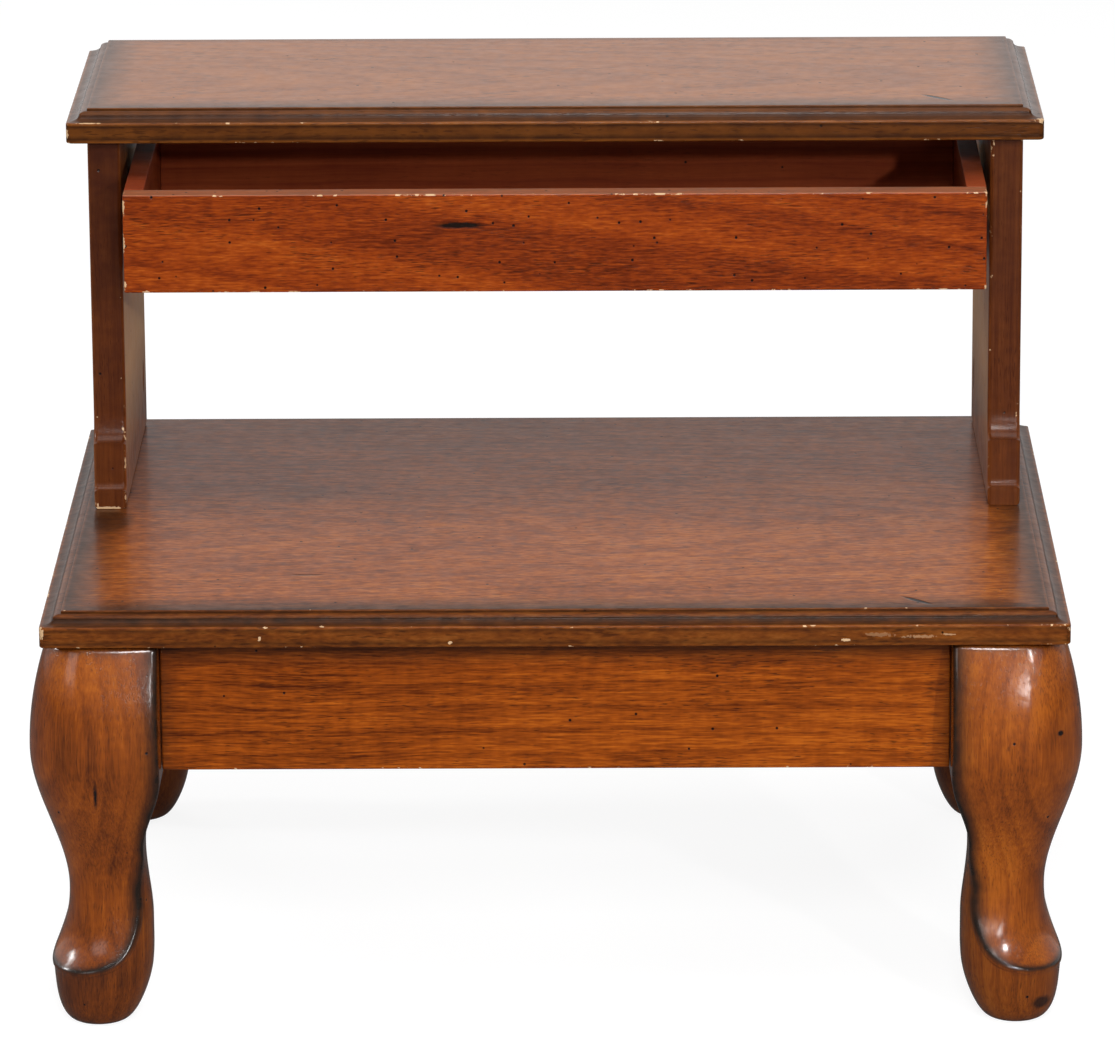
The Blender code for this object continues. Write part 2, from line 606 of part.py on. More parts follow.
def panel_fixings(side, sx, panel):
    middle = sx * (PANEL_OUTER - PANEL_THICK / 2)
    up = Vector((0, 0, 1))

    # Screws from under the lower board
    for end, y in (("front", PANEL_FRONT + BOARD_SCREW_FRONT), ("back", PANEL_REAR - BOARD_SCREW_REAR)):
        mouth = Vector((middle, y, LOWER_UNDERSIDE))
        seat = mouth + up * FIT
        name = f"panel_screw_{side}_{end}"
        drill(lower_board, f"{name}_hole", mouth, up, 2 * LOWER_THICK, SCREW_RADIUS + FIT)
        countersink(lower_board, f"{name}_countersink", seat, up)
        base = Vector((middle, y, LOWER_TOP))
        into_panel = BOARD_SCREW_LENGTH - LOWER_THICK + 2 * FIT
        drill(panel, f"{name}_pilot", base, up, into_panel, SCREW_RADIUS + FIT)
        add_part(name, screw_mesh(BOARD_SCREW_LENGTH, up), seat, steel, stool)

    # Pocket screw near the rear edge, sloping down and outward into the lower board
    down = Vector((sx * math.sin(POCKET_ANGLE), 0, -math.cos(POCKET_ANGLE)))
    mouth = Vector((sx * PANEL_INNER, PANEL_REAR - POCKET_REAR, LOWER_TOP + POCKET_RISE))
    seat_depth = POCKET_SHOULDER / math.cos(POCKET_ANGLE)
    seat = mouth + down * seat_depth
    reach = POCKET_RISE
    bore = rod_mesh(POCKET_RADIUS, reach + seat_depth, down)
    boolean(panel, add_cutter(f"pocket_{side}", bore, mouth + down * (seat_depth - reach) / 2))
    name = f"pocket_screw_{side}"
    drill(panel, f"{name}_hole", seat, down, 2 * POCKET_RISE, SCREW_RADIUS + FIT)
    head = seat - down * (SCREW_HEAD_HEIGHT + FIT)
    tip = head + down * (POCKET_SCREW_LENGTH + FIT)
    top = seat + down * ((seat.z - LOWER_TOP) / math.cos(POCKET_ANGLE))
    drill(lower_board, f"{name}_board_hole", top, down, (tip - top).length, SCREW_RADIUS + FIT)
    add_part(name, screw_mesh(POCKET_SCREW_LENGTH, down, flat_seat=True), head, steel, stool)

    # Dowels into the upper board
    for end, y in (("front", PANEL_FRONT + DOWEL_INSET), ("back", PANEL_REAR - DOWEL_INSET)):
        name = f"dowel_{side}_{end}"
        top = UPPER_UNDERSIDE + DOWEL_IN_BOARD
        drill(upper_board, f"{name}_board_hole", (middle, y, UPPER_UNDERSIDE), up, DOWEL_IN_BOARD + FIT,
              DOWEL_RADIUS + FIT)
        drill(panel, f"{name}_panel_hole", (middle, y, UPPER_UNDERSIDE), -up,
              DOWEL_LENGTH - DOWEL_IN_BOARD + FIT, DOWEL_RADIUS + FIT)
        centre = (middle, y, top - DOWEL_LENGTH / 2)
        add_part(name, rod_mesh(DOWEL_RADIUS, DOWEL_LENGTH, up), centre, beech, stool)


# Runners on the side panels

def drawer_runner(side, sx, panel):
    inner = DRAWER_HALF - RUNNER_GROOVE_DEPTH + RUNNING_GAP
    low_x, high_x = sorted((sx * inner, sx * (PANEL_INNER - FIT)))
    low = (low_x, RUNNER_FRONT, RUNNER_UNDERSIDE)
    high = (high_x, RUNNER_REAR, RUNNER_TOP)
    runner = box_part(f"drawer_runner_{side}", low, high, beech, stool)
    outward = Vector((sx, 0, 0))
    z = (RUNNER_UNDERSIDE + RUNNER_TOP) / 2
    strip = PANEL_INNER - FIT - inner
    for end, y in (("front", RUNNER_FRONT + RUNNER_SCREW_INSET), ("back", RUNNER_REAR - RUNNER_SCREW_INSET)):
        name = f"runner_screw_{side}_{end}"
        mouth = Vector((sx * inner, y, z))
        seat = mouth + outward * FIT
        drill(runner, f"{name}_hole", mouth, outward, 2 * strip, SCREW_RADIUS + FIT)
        countersink(runner, f"{name}_countersink", seat, outward)
        base = Vector((sx * PANEL_INNER, y, z))
        drill(panel, f"{name}_pilot", base, outward, RUNNER_SCREW_LENGTH - strip + FIT, SCREW_RADIUS + FIT)
        add_part(name, screw_mesh(RUNNER_SCREW_LENGTH, outward), seat, steel, stool)


# Drawer

def drawer_box():
    front = box_part(
        "drawer_front",
        (-DRAWER_HALF, DRAWER_FACE, DRAWER_BOTTOM),
        (DRAWER_HALF, DRAWER_BOX_FRONT, DRAWER_TOP),
        cherry,
        drawer,
    )
    groove_low = BOTTOM_UNDERSIDE - FIT
    groove_high = BOTTOM_TOP + FIT
    groove_half = DRAWER_INNER + BOTTOM_GROOVE_DEPTH
    groove_front = DRAWER_BOX_FRONT - BOTTOM_GROOVE_DEPTH
    clear = 5 * MM
    box_cut(
        front,
        "drawer_front_bottom_groove",
        (-groove_half, groove_front, groove_low),
        (groove_half, DRAWER_BOX_FRONT + clear, groove_high),
    )
    for side, sx in SIDES:
        low_x, high_x = sorted((sx * DRAWER_INNER, sx * DRAWER_HALF))
        piece = box_part(
            f"drawer_side_{side}",
            (low_x, DRAWER_BOX_FRONT + FIT, DRAWER_BOTTOM),
            (high_x, DRAWER_REAR, DRAWER_TOP),
            poplar,
            drawer,
        )
        low_x, high_x = sorted((sx * (DRAWER_INNER - clear), sx * groove_half))
        box_cut(
            piece,
            f"drawer_side_{side}_bottom_groove",
            (low_x, DRAWER_BOX_FRONT - clear, groove_low),
            (high_x, DRAWER_REAR + clear, groove_high),
        )
        low_x, high_x = sorted((sx * (DRAWER_HALF - RUNNER_GROOVE_DEPTH), sx * (DRAWER_HALF + clear)))
        box_cut(
            piece,
            f"drawer_side_{side}_runner_groove",
            (low_x, DRAWER_BOX_FRONT + RUNNER_STOP, RUNNER_UNDERSIDE - FIT),
            (high_x, DRAWER_REAR + clear, RUNNER_TOP + FIT),
        )
    box_part(
        "drawer_back",
        (FIT - DRAWER_INNER, DRAWER_REAR - DRAWER_BACK_THICK, BOTTOM_TOP + FIT),
        (DRAWER_INNER - FIT, DRAWER_REAR, DRAWER_TOP),
        poplar,
        drawer,
    )
    box_part(
        "drawer_bottom",
        (FIT - groove_half, groove_front + FIT, BOTTOM_UNDERSIDE),
        (groove_half - FIT, DRAWER_REAR, BOTTOM_TOP),
        ply,
        drawer,
    )


clear_scene()
parts = new_collection("step_stool")
cutters = new_collection("cutters")

cherry = finish("stained_cherry", (0.24, 0.075, 0.018), 0.32)
poplar = finish("stained_poplar", (0.14, 0.035, 0.018), 0.45)
ply = finish("stained_plywood", (0.16, 0.045, 0.02), 0.5)
pine = finish("bare_pine", (0.52, 0.34, 0.17), 0.65)
beech = finish("waxed_beech", (0.48, 0.29, 0.14), 0.5)
steel = finish("zinc_plated_steel", (0.55, 0.54, 0.5), 0.35, 1.0)

stool = new_empty("stool", (0, 0, 0))
slide_height = (RUNNER_UNDERSIDE + RUNNER_TOP) / 2
drawer = new_empty("drawer", (0, DRAWER_FACE, slide_height))

lower_board = moulded_board(
    "lower_step_board", HALF_WIDTH, -HALF_DEPTH, HALF_DEPTH, LOWER_UNDERSIDE, LOWER_THICK
)
upper_board = moulded_board(
    "upper_step_board",
    HALF_WIDTH - UPPER_END_INSET,
    PANEL_FRONT - UPPER_FRONT_OVERHANG,
    PANEL_REAR + UPPER_REAR_OVERHANG,
    UPPER_UNDERSIDE,
    UPPER_THICK,
)
for side_name, side_sign in SIDES:
    side_piece = side_panel(side_name, side_sign)
    panel_fixings(side_name, side_sign, side_piece)
    drawer_runner(side_name, side_sign, side_piece)
    apron(f"side_apron_{side_name}", False, side_sign)
for end_name, end_sign in ENDS:
    apron(f"{end_name}_apron", True, end_sign)
for corner_name, corner_x, corner_y in CORNERS:
    cabriole_leg(corner_name, corner_x, corner_y)
    corner_brace(corner_name, corner_x, corner_y)
drawer_box()
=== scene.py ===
import math

import bmesh
import bpy
import numpy as np
from mathutils import Matrix, Vector, noise


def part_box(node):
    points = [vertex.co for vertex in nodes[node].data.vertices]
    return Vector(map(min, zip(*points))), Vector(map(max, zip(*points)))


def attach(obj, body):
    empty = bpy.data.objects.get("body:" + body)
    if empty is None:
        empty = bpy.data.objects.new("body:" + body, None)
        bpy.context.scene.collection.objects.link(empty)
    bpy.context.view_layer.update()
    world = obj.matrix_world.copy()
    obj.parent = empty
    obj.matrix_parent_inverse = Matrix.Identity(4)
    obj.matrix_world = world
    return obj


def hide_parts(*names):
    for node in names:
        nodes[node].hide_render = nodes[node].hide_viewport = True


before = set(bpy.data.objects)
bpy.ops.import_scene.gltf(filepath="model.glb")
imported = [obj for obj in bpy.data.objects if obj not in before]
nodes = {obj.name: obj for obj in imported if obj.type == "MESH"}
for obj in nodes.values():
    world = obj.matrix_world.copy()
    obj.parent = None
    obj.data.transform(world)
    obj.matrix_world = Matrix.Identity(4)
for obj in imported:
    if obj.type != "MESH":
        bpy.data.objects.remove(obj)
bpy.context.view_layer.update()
scene = bpy.context.scene
mm = 0.001
print("frame loaded:", len(nodes), "nodes")


# Small helpers

def linear(hexCode):
    parts = [int(hexCode[i:i + 2], 16) / 255 for i in (1, 3, 5)]
    return [c / 12.92 if c <= 0.04045 else ((c + 0.055) / 1.055) ** 2.4 for c in parts] + [1.0]


def addNode(tree, kind, settings=None, links=None):
    # number and capitalised keys are sockets, stops fill a colour ramp, the rest set up the node
    node = tree.nodes.new("ShaderNode" + kind)
    for key, value in (settings or {}).items():
        if key == "stops":
            elements = node.color_ramp.elements
            while len(elements) < len(value):
                elements.new(0.5)
            for stop, (place, colour) in zip(elements, value):
                stop.position = place
                stop.color = colour
        elif isinstance(key, int) or key[0].isupper():
            node.inputs[key].default_value = value
        else:
            setattr(node, key, value)
    for key, source in (links or {}).items():
        tree.links.new(source, node.inputs[key])
    return node


def ease(t):
    t = np.clip(t, 0.0, 1.0)
    return t * t * (3 - 2 * t)


def rising(z, foot, reach):
    # from 0 at a height to 1 above it
    return ease((z - foot) / reach)


def blend(a, b, t):
    return a + (b - a) * t


def addPiece(name, bm, material, body, node, sharpAngle=40):
    # makes a piece that stands for a node of the frame
    mesh = bpy.data.meshes.new(name)
    bmesh.ops.recalc_face_normals(bm, faces=bm.faces)
    bm.to_mesh(mesh)
    bm.free()
    mesh.shade_smooth()
    mesh.set_sharp_from_angle(angle=math.radians(sharpAngle))
    piece = bpy.data.objects.new(name, mesh)
    scene.collection.objects.link(piece)
    piece.data.materials.append(material)
    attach(piece, body)
    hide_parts(node)
    return piece


def evenNormals(piece):
    # large flat faces keep their normals, so that only the worn arrises round off
    modifier = piece.modifiers.new("evenNormals", "WEIGHTED_NORMAL")
    modifier.keep_sharp = True


def markArrises(bm):
    # flags the narrow bevel faces, where the lacquer chips
    edgeLayer = bm.faces.layers.float.new("edge")
    for face in bm.faces:
        if max(abs(part) for part in face.normal) < 0.999:
            face[edgeLayer] = 1.0


# Camera, fitted to the edges of the boards and panels in the photograph

cameraView = {
    "place": (0.0312, -3.9111, 1.3526),   # metres
    "pitch": math.radians(16),            # below the horizon
    "yaw": 0.0079,
    "roll": -0.0060,
    "lens": 230.6,                        # mm
    "sensor": 36,
    "farthest": 60,
}
camera = bpy.data.objects.new("camera", bpy.data.cameras.new("camera"))
camera.data.lens = cameraView["lens"]
camera.data.sensor_width = cameraView["sensor"]
camera.data.clip_end = cameraView["farthest"]
turns = (
    Matrix.Rotation(cameraView["yaw"], 4, "Z")
    @ Matrix.Rotation(math.pi / 2 - cameraView["pitch"], 4, "X")
    @ Matrix.Rotation(cameraView["roll"], 4, "Z")
)
camera.matrix_world = Matrix.Translation(cameraView["place"]) @ turns
scene.collection.objects.link(camera)
scene.camera = camera
scene.view_settings.view_transform = "Standard"
print("camera placed")


# Floor, world and lamps

stageLook = {
    "floorSize": 16.0,       # metres
    "floorDrop": 0.0002,     # keeps it clear of the soles
    "floorTone": 0.43,       # what the floor bounces back to the stool
    "floorGlow": 0.88,       # seen directly, the lit floor then comes to white
    "floorLit": 0.2,         # share of the seen floor that takes the stool's shadow
    "floorMirrored": 0.05,   # how much of that white shows in the lacquer
    "floorShine": 0.1,       # the floor's tone there
    "ambient": 0.16,         # world level for diffuse light
    "backMirrored": 0.8,     # the backdrop in the lacquer
    "frontMirrored": 0.136,  # the room behind the camera is dimmer
    "backHeading": 0.6,      # how far to the back the full backdrop starts
    "lampAim": (0, 0, 0.22),
}
lamps = {   # metres and watts, the rear ones kept out of the lacquer
    "key": {"place": (0.1, -2.4, 1.65), "size": 0.5, "height": 0.5, "power": 34},
    "sideKey": {"place": (1.36, -2.57, 1.24), "size": 0.1, "height": 0.1, "power": 26},
    "lowFill": {"place": (0.7, -3.0, 0.62), "size": 0.35, "height": 0.35, "power": 10},
    "overhead": {"place": (0.1, -0.5, 2.3), "size": 1.8, "height": 1.8, "power": 31},
    "leftFill": {"place": (-2.5, 0.15, 1.1), "size": 0.35, "height": 0.45, "power": 19},
    "frontLeft": {"place": (-2.0, -2.1, 1.0), "size": 1.2, "height": 0.8, "power": 7},
    "rearLeft": {"place": (-1.6, 2.2, 1.3), "size": 1.2, "height": 1.2, "power": 17},
    "rearRight": {"place": (1.6, 2.2, 1.3), "size": 1.2, "height": 1.2, "power": 10},
}


def seenRays(tree, mirrored):
    # camera and transmission rays see the white background, glossy rays as much of it as mirrored says
    rays = addNode(tree, "LightPath").outputs
    gloss = addNode(tree, "Math", {"operation": "MULTIPLY"}, {0: rays["Is Glossy Ray"], 1: mirrored})
    gloss = gloss.outputs[0]
    some = addNode(tree, "Math", {"operation": "MAXIMUM"}, {0: rays["Is Camera Ray"], 1: gloss}).outputs[0]
    every = addNode(tree, "Math", {"operation": "MAXIMUM"}, {0: some, 1: rays["Is Transmission Ray"]})
    return every.outputs[0], gloss


bm = bmesh.new()
bmesh.ops.create_grid(bm, x_segments=1, y_segments=1, size=stageLook["floorSize"] / 2)
floorMesh = bpy.data.meshes.new("floor")
bm.to_mesh(floorMesh)
bm.free()
floor = bpy.data.objects.new("floor", floorMesh)
floor.location.z = -stageLook["floorDrop"]
scene.collection.objects.link(floor)
paper = bpy.data.materials.new("matteWhitePaper")   # studio sweep: even white that still takes a soft shadow
paper.use_nodes = True
tree = paper.node_tree
tree.nodes.clear()
mirrored = addNode(tree, "Value").outputs[0]
mirrored.default_value = stageLook["floorMirrored"]
rays, gloss = seenRays(tree, mirrored)
toneRange = {"From Max": stageLook["floorMirrored"], "To Min": stageLook["floorTone"],
             "To Max": stageLook["floorShine"]}
tone = addNode(tree, "MapRange", toneRange, {"Value": gloss}).outputs[0]
bounce = addNode(tree, "BsdfDiffuse", None, {"Color": tone})
lit = addNode(tree, "BsdfDiffuse", {"Color": [stageLook["floorLit"]] * 3 + [1]})
glow = addNode(tree, "Emission", {"Strength": stageLook["floorGlow"]})
seen = addNode(tree, "AddShader", None, {0: lit.outputs[0], 1: glow.outputs[0]})
mixed = addNode(tree, "MixShader", None, {0: rays, 1: bounce.outputs[0], 2: seen.outputs[0]})
addNode(tree, "OutputMaterial", None, {"Surface": mixed.outputs[0]})
floor.data.materials.append(paper)

world = bpy.data.worlds.new("studio")
scene.world = world
world.use_nodes = True
tree = world.node_tree
tree.nodes.clear()
heading = addNode(tree, "TexCoord").outputs["Generated"]
heading = addNode(tree, "SeparateXYZ", None, {0: heading}).outputs["Y"]
mirrorRange = {"From Max": stageLook["backHeading"], "To Min": stageLook["frontMirrored"],
               "To Max": stageLook["backMirrored"]}
mirrored = addNode(tree, "MapRange", mirrorRange, {"Value": heading}).outputs[0]
rays = seenRays(tree, mirrored)[0]
level = addNode(tree, "MapRange", {"To Min": stageLook["ambient"], "To Max": 1.0}, {"Value": rays})
back = addNode(tree, "Background", {"Color": (1, 1, 1, 1)}, {"Strength": level.outputs[0]})
addNode(tree, "OutputWorld", None, {"Surface": back.outputs[0]})

aim = Vector(stageLook["lampAim"])
for lampName, lamp in lamps.items():
    light = bpy.data.lights.new(lampName, "AREA")
    light.shape = "RECTANGLE"
    light.size = lamp["size"]
    light.size_y = lamp["height"]
    light.energy = lamp["power"]
    holder = bpy.data.objects.new(lampName, light)
    holder.location = lamp["place"]
    holder.rotation_euler = (aim - holder.location).to_track_quat("-Z", "Y").to_euler()
    holder.visible_camera = False
    holder.visible_glossy = not lampName.startswith("rear")
    scene.collection.objects.link(holder)
print("floor, world and lamps made")


# Materials

wood = {   # what all the woods share, sizes in mm
    "tonePlaces": (0.18, 0.42, 0.6, 0.84),             # where a look's four colours lie
    "ringTones": ((0.0, 0.35), (0.12, 1.0), (0.7, 0.5), (0.93, 0.0), (1.0, 0.35)),   # across one ring
    "poreRough": 0.4, "porePatch": (60, 18), "poreCrowd": 0.35, "poreRim": 0.12,
    "cloud": 9.0, "cloudRange": {"From Min": 0.3, "From Max": 0.7},   # patches of uneven glaze and gloss
    "glazeRange": {"To Min": 0.9, "To Max": 1.06}, "roughRange": 0.06,
    "wormRim": 1.0, "wormHole": 0.6,
    "shake": 3.0, "shakeReach": 1.4,                   # shaky outlines of gouges
    "markRim": {"From Min": 1.0, "From Max": 0.55}, "markColour": "#170c07",
    "tear": 1.8, "tearDepth": 2.4, "tearRim": {"From Min": 2.2, "From Max": 2.0},   # rims of bare spots
    "bareShare": 0.9,
    "chip": 3.5, "chipPatch": 38.0, "chipCrowd": 1.1, "chipRim": 0.06,
    "ripple": 7.0, "sunkMarks": 4.0, "sunk": -0.5,     # lacquer
    "bumpReach": 0.0004,                               # metres
    "heightSpan": 500.0,
}


def greys(pairs, span=1.0):
    return [(place / span, (level, level, level, 1)) for place, level in pairs]


def streaks(tree, grain, length, width, detail):
    # noise drawn out along the grain, by its length and width in mm
    sized = addNode(tree, "Mapping", {"Scale": (1 / length, 1 / width, 1 / width)}, {"Vector": grain})
    return addNode(tree, "TexNoise", {"Scale": 1.0, "Detail": detail}, {"Vector": sized.outputs[0]})


def wanderingGrain(tree, look, inMm):
    # the grain runs along one axis and wanders sideways by a few mm over a hand's length
    turn = {"x": (0, 0, 0), "y": (0, 0, -math.pi / 2), "z": (0, math.pi / 2, 0)}[look["grain"]]
    grain = addNode(tree, "Mapping", {"Rotation": turn}, {"Vector": inMm}).outputs[0]
    along, across, reach = look["wander"]
    drift = streaks(tree, grain, along, across, 1.5).outputs["Color"]
    drift = addNode(tree, "VectorMath", {"operation": "SUBTRACT", 1: (0.5, 0.5, 0.5)}, {0: drift}).outputs[0]
    return addNode(tree, "VectorMath", {"operation": "MULTIPLY_ADD", 1: (0, reach, reach)},
                   {0: drift, 2: grain}).outputs[0]


def growthRings(tree, rings, grain):
    # rings round a heart that leans against the face, which cuts them to long arches
    fromHeart = addNode(tree, "VectorMath", {"operation": "SUBTRACT", 1: rings["heart"]}, {0: grain})
    parts = addNode(tree, "SeparateXYZ", None, {0: fromHeart.outputs[0]}).outputs
    leaning = addNode(tree, "Math", {"operation": "MULTIPLY_ADD", 1: rings["lean"]},
                      {0: parts["X"], 2: parts["Z"]})
    flat = addNode(tree, "CombineXYZ", None, {"Y": parts["Y"], "Z": leaning.outputs[0]})
    radius = addNode(tree, "VectorMath", {"operation": "LENGTH"}, {0: flat.outputs[0]}).outputs["Value"]
    count = addNode(tree, "Math", {"operation": "DIVIDE", 1: rings["width"]}, {0: radius}).outputs[0]
    phase = addNode(tree, "Math", {"operation": "FRACT"}, {0: count}).outputs[0]
    return addNode(tree, "ValToRGB", {"stops": greys(wood["ringTones"])}, {"Fac": phase}).outputs["Color"]


def awayFrom(tree, place, spot):
    # distance from a spot's middle, in shares of its half sizes
    settings = {"vector_type": "TEXTURE", "Location": spot["at"], "Scale": spot["half"],
                "Rotation": spot.get("turn", (0, 0, 0))}
    local = addNode(tree, "Mapping", settings, {"Vector": place})
    return addNode(tree, "VectorMath", {"operation": "LENGTH"}, {0: local.outputs[0]}).outputs["Value"]


def woodMaterial(name, look):
    material = bpy.data.materials.new(name)
    material.use_nodes = True
    tree = material.node_tree
    shader = tree.nodes["Principled BSDF"]
    metres = addNode(tree, "TexCoord").outputs["Object"]
    inMm = addNode(tree, "VectorMath", {"operation": "SCALE", "Scale": 1 / mm}, {0: metres}).outputs[0]
    grain = wanderingGrain(tree, look, inMm)
    over = []   # masks and colours of what lies over the plain wood, from the lowest up

    # a slow change of tone across the piece, painted light and shade where the lamps fall off, then streaks,
    # blotches and ripple, then rings
    rings = look["rings"]
    start = 0.5 - sum(layer[3] for layer in look["layers"]) / 2 - rings["weight"] / 2
    tone = addNode(tree, "VectorMath", {"operation": "DOT_PRODUCT", 1: look["drift"]}, {0: inMm})
    tone = addNode(tree, "Math", {"operation": "ADD", 1: start}, {0: tone.outputs["Value"]}).outputs[0]
    for length, width, detail, weight in look["layers"]:
        streak = streaks(tree, grain, length, width, detail).outputs["Fac"]
        tone = addNode(tree, "Math", {"operation": "MULTIPLY_ADD", 1: weight},
                       {0: streak, 2: tone}).outputs[0]
    tone = addNode(tree, "Math", {"operation": "MULTIPLY_ADD", 1: rings["weight"]},
                   {0: growthRings(tree, rings, grain), 2: tone}).outputs[0]
    stops = [(place, linear(code)) for place, code in zip(wood["tonePlaces"], look["colours"])]
    colour = addNode(tree, "ValToRGB", {"stops": stops}, {"Fac": tone}).outputs["Color"]

    # open pores filled with dark stain, drawn a little wide so that they show
    pores = look["pores"]
    dashes = streaks(tree, grain, pores["length"], pores["width"], 1.0)
    dashes.inputs["Roughness"].default_value = wood["poreRough"]
    patchy = streaks(tree, grain, *wood["porePatch"], 1.0)
    crowd = addNode(tree, "Math", {"operation": "MULTIPLY_ADD", 1: wood["poreCrowd"]},
                    {0: patchy.outputs["Fac"], 2: dashes.outputs["Fac"]})
    poreRange = {"From Min": pores["least"], "From Max": pores["least"] + wood["poreRim"],
                 "To Max": pores["depth"]}
    poreMask = addNode(tree, "MapRange", poreRange, {"Value": crowd.outputs[0]}).outputs[0]
    over.append((poreMask, pores["colour"]))

    # thinner stain on the faces that are turned in, its share set by height: on the panels it fades out
    # towards the bottom, and above the drawer it gives way to painted shade under the upper board
    thin = addNode(tree, "Attribute", {"attribute_name": "thin"}).outputs["Fac"]
    height = addNode(tree, "SeparateXYZ", None, {0: inMm}).outputs["Z"]
    height = addNode(tree, "Math", {"operation": "DIVIDE", 1: wood["heightSpan"]}, {0: height}).outputs[0]
    stops = greys(look["thinAndShadeByHeight"], wood["heightSpan"])
    share = addNode(tree, "ValToRGB", {"stops": stops}, {"Fac": height}).outputs["Color"]
    thin = addNode(tree, "Math", {"operation": "MULTIPLY"}, {0: thin, 1: share}).outputs[0]
    over.append((thin, look["thinColour"]))

    # antique glaze wiped into the hollows and along the edges, and painted shade in the same mask: under the
    # boards, on the lower tread under the upper step, at the tops of the aprons and legs and on the panels'
    # fronts
    glaze = addNode(tree, "Attribute", {"attribute_name": "glaze"}).outputs["Fac"]
    cloudy = addNode(tree, "TexNoise", {"Scale": 1 / wood["cloud"], "Detail": 4.0}, {"Vector": inMm})
    cloudy = cloudy.outputs["Fac"]
    uneven = addNode(tree, "MapRange", {**wood["cloudRange"], **wood["glazeRange"]}, {"Value": cloudy})
    glazeAndShadeMask = addNode(tree, "Math", {"operation": "MULTIPLY", "use_clamp": True},
                    {0: glaze, 1: uneven.outputs[0]}).outputs[0]
    over.append((glazeAndShadeMask, look["glazeAndShadeColour"]))

    # worm holes about 1 mm across, then gouges, scratches and stains at their own places
    spacing = look["wormSpacing"]
    cells = addNode(tree, "TexVoronoi", {"Scale": 1 / spacing}, {"Vector": inMm}).outputs["Distance"]
    wormRange = {"From Min": wood["wormRim"] / spacing, "From Max": wood["wormHole"] / spacing}
    dark = addNode(tree, "MapRange", wormRange, {"Value": cells}).outputs[0]
    reach = wood["shakeReach"]
    shaky = addNode(tree, "TexNoise", {"Scale": 1 / wood["shake"], "Detail": 3.0}, {"Vector": inMm})
    shaky = addNode(tree, "VectorMath", {"operation": "MULTIPLY_ADD", 1: (reach, reach, reach)},
                    {0: shaky.outputs["Color"], 2: inMm}).outputs[0]
    for mark in look.get("marks", []):
        shifted = dict(mark, at=[value + reach / 2 for value in mark["at"]])   # by the mean of the noise
        away = awayFrom(tree, shaky, shifted)
        inside = addNode(tree, "MapRange", {**wood["markRim"], "To Max": mark["depth"]}, {"Value": away})
        dark = addNode(tree, "Math", {"operation": "MAXIMUM"}, {0: dark, 1: inside.outputs[0]}).outputs[0]
    over.append((dark, wood["markColour"]))

    # bare spots with ragged rims, and scuffs that show less
    ragged = addNode(tree, "TexNoise", {"Scale": 1 / wood["tear"], "Detail": 2.0}, {"Vector": inMm})
    for bare in look.get("bareSpots", []):
        torn = addNode(tree, "Math", {"operation": "MULTIPLY_ADD", 1: wood["tearDepth"]},
                       {0: ragged.outputs["Fac"], 2: awayFrom(tree, inMm, bare)})
        bareRange = {**wood["tearRim"], "To Max": bare.get("share", wood["bareShare"])}
        inside = addNode(tree, "MapRange", bareRange, {"Value": torn.outputs[0]}).outputs[0]
        over.append((inside, look["chipColour"]))

    # lacquer and stain chipped off the arrises, down to pale wood
    edge = addNode(tree, "Attribute", {"attribute_name": "edge"}).outputs["Fac"]
    small = addNode(tree, "TexNoise", {"Scale": 1 / wood["chip"], "Detail": 2.0}, {"Vector": inMm})
    broad = addNode(tree, "TexNoise", {"Scale": 1 / wood["chipPatch"], "Detail": 2.0}, {"Vector": inMm})
    summed = addNode(tree, "Math", {"operation": "MULTIPLY_ADD", 1: wood["chipCrowd"]},
                     {0: broad.outputs["Fac"], 2: small.outputs["Fac"]})
    chipRange = {"From Min": look["chipLeast"], "From Max": look["chipLeast"] + wood["chipRim"]}
    chipped = addNode(tree, "MapRange", chipRange, {"Value": summed.outputs[0]}).outputs[0]
    chip = addNode(tree, "Math", {"operation": "MULTIPLY"}, {0: edge, 1: chipped}).outputs[0]
    over.append((chip, look["chipColour"]))
    for mask, code in over:
        colour = addNode(tree, "Mix", {"data_type": "RGBA", 7: linear(code)},
                         {0: mask, 6: colour}).outputs[2]

    # lacquer pulls in over the pores and holes, and lies a little uneven between them
    sunk = addNode(tree, "Math", {"operation": "MULTIPLY_ADD", 1: wood["sunkMarks"]}, {0: dark, 2: poreMask})
    sunk = addNode(tree, "Math", {"operation": "ADD"}, {0: sunk.outputs[0], 1: chip})
    ripple = addNode(tree, "TexNoise", {"Scale": 1 / wood["ripple"], "Detail": 2.0}, {"Vector": inMm})
    height = addNode(tree, "Math", {"operation": "MULTIPLY_ADD", 1: wood["sunk"]},
                     {0: sunk.outputs[0], 2: ripple.outputs["Fac"]}).outputs[0]
    bump = addNode(tree, "Bump", {"Strength": look["bump"], "Distance": wood["bumpReach"]},
                   {"Height": height})
    roughRange = {**wood["cloudRange"], "To Min": look["rough"] - wood["roughRange"],
                  "To Max": look["rough"] + wood["roughRange"]}
    rough = addNode(tree, "MapRange", roughRange, {"Value": cloudy})
    tree.links.new(colour, shader.inputs["Base Color"])
    tree.links.new(rough.outputs[0], shader.inputs["Roughness"])
    tree.links.new(bump.outputs[0], shader.inputs["Normal"])
    tree.links.new(bump.outputs[0], shader.inputs["Coat Normal"])
    shader.inputs["IOR"].default_value = 1.5
    shader.inputs["Specular IOR Level"].default_value = look["sheen"]
    shader.inputs["Coat Weight"].default_value = look["coat"]
    shader.inputs["Coat Roughness"].default_value = look["coatRough"]
    shader.inputs["Coat IOR"].default_value = look["coatIor"]
    return material


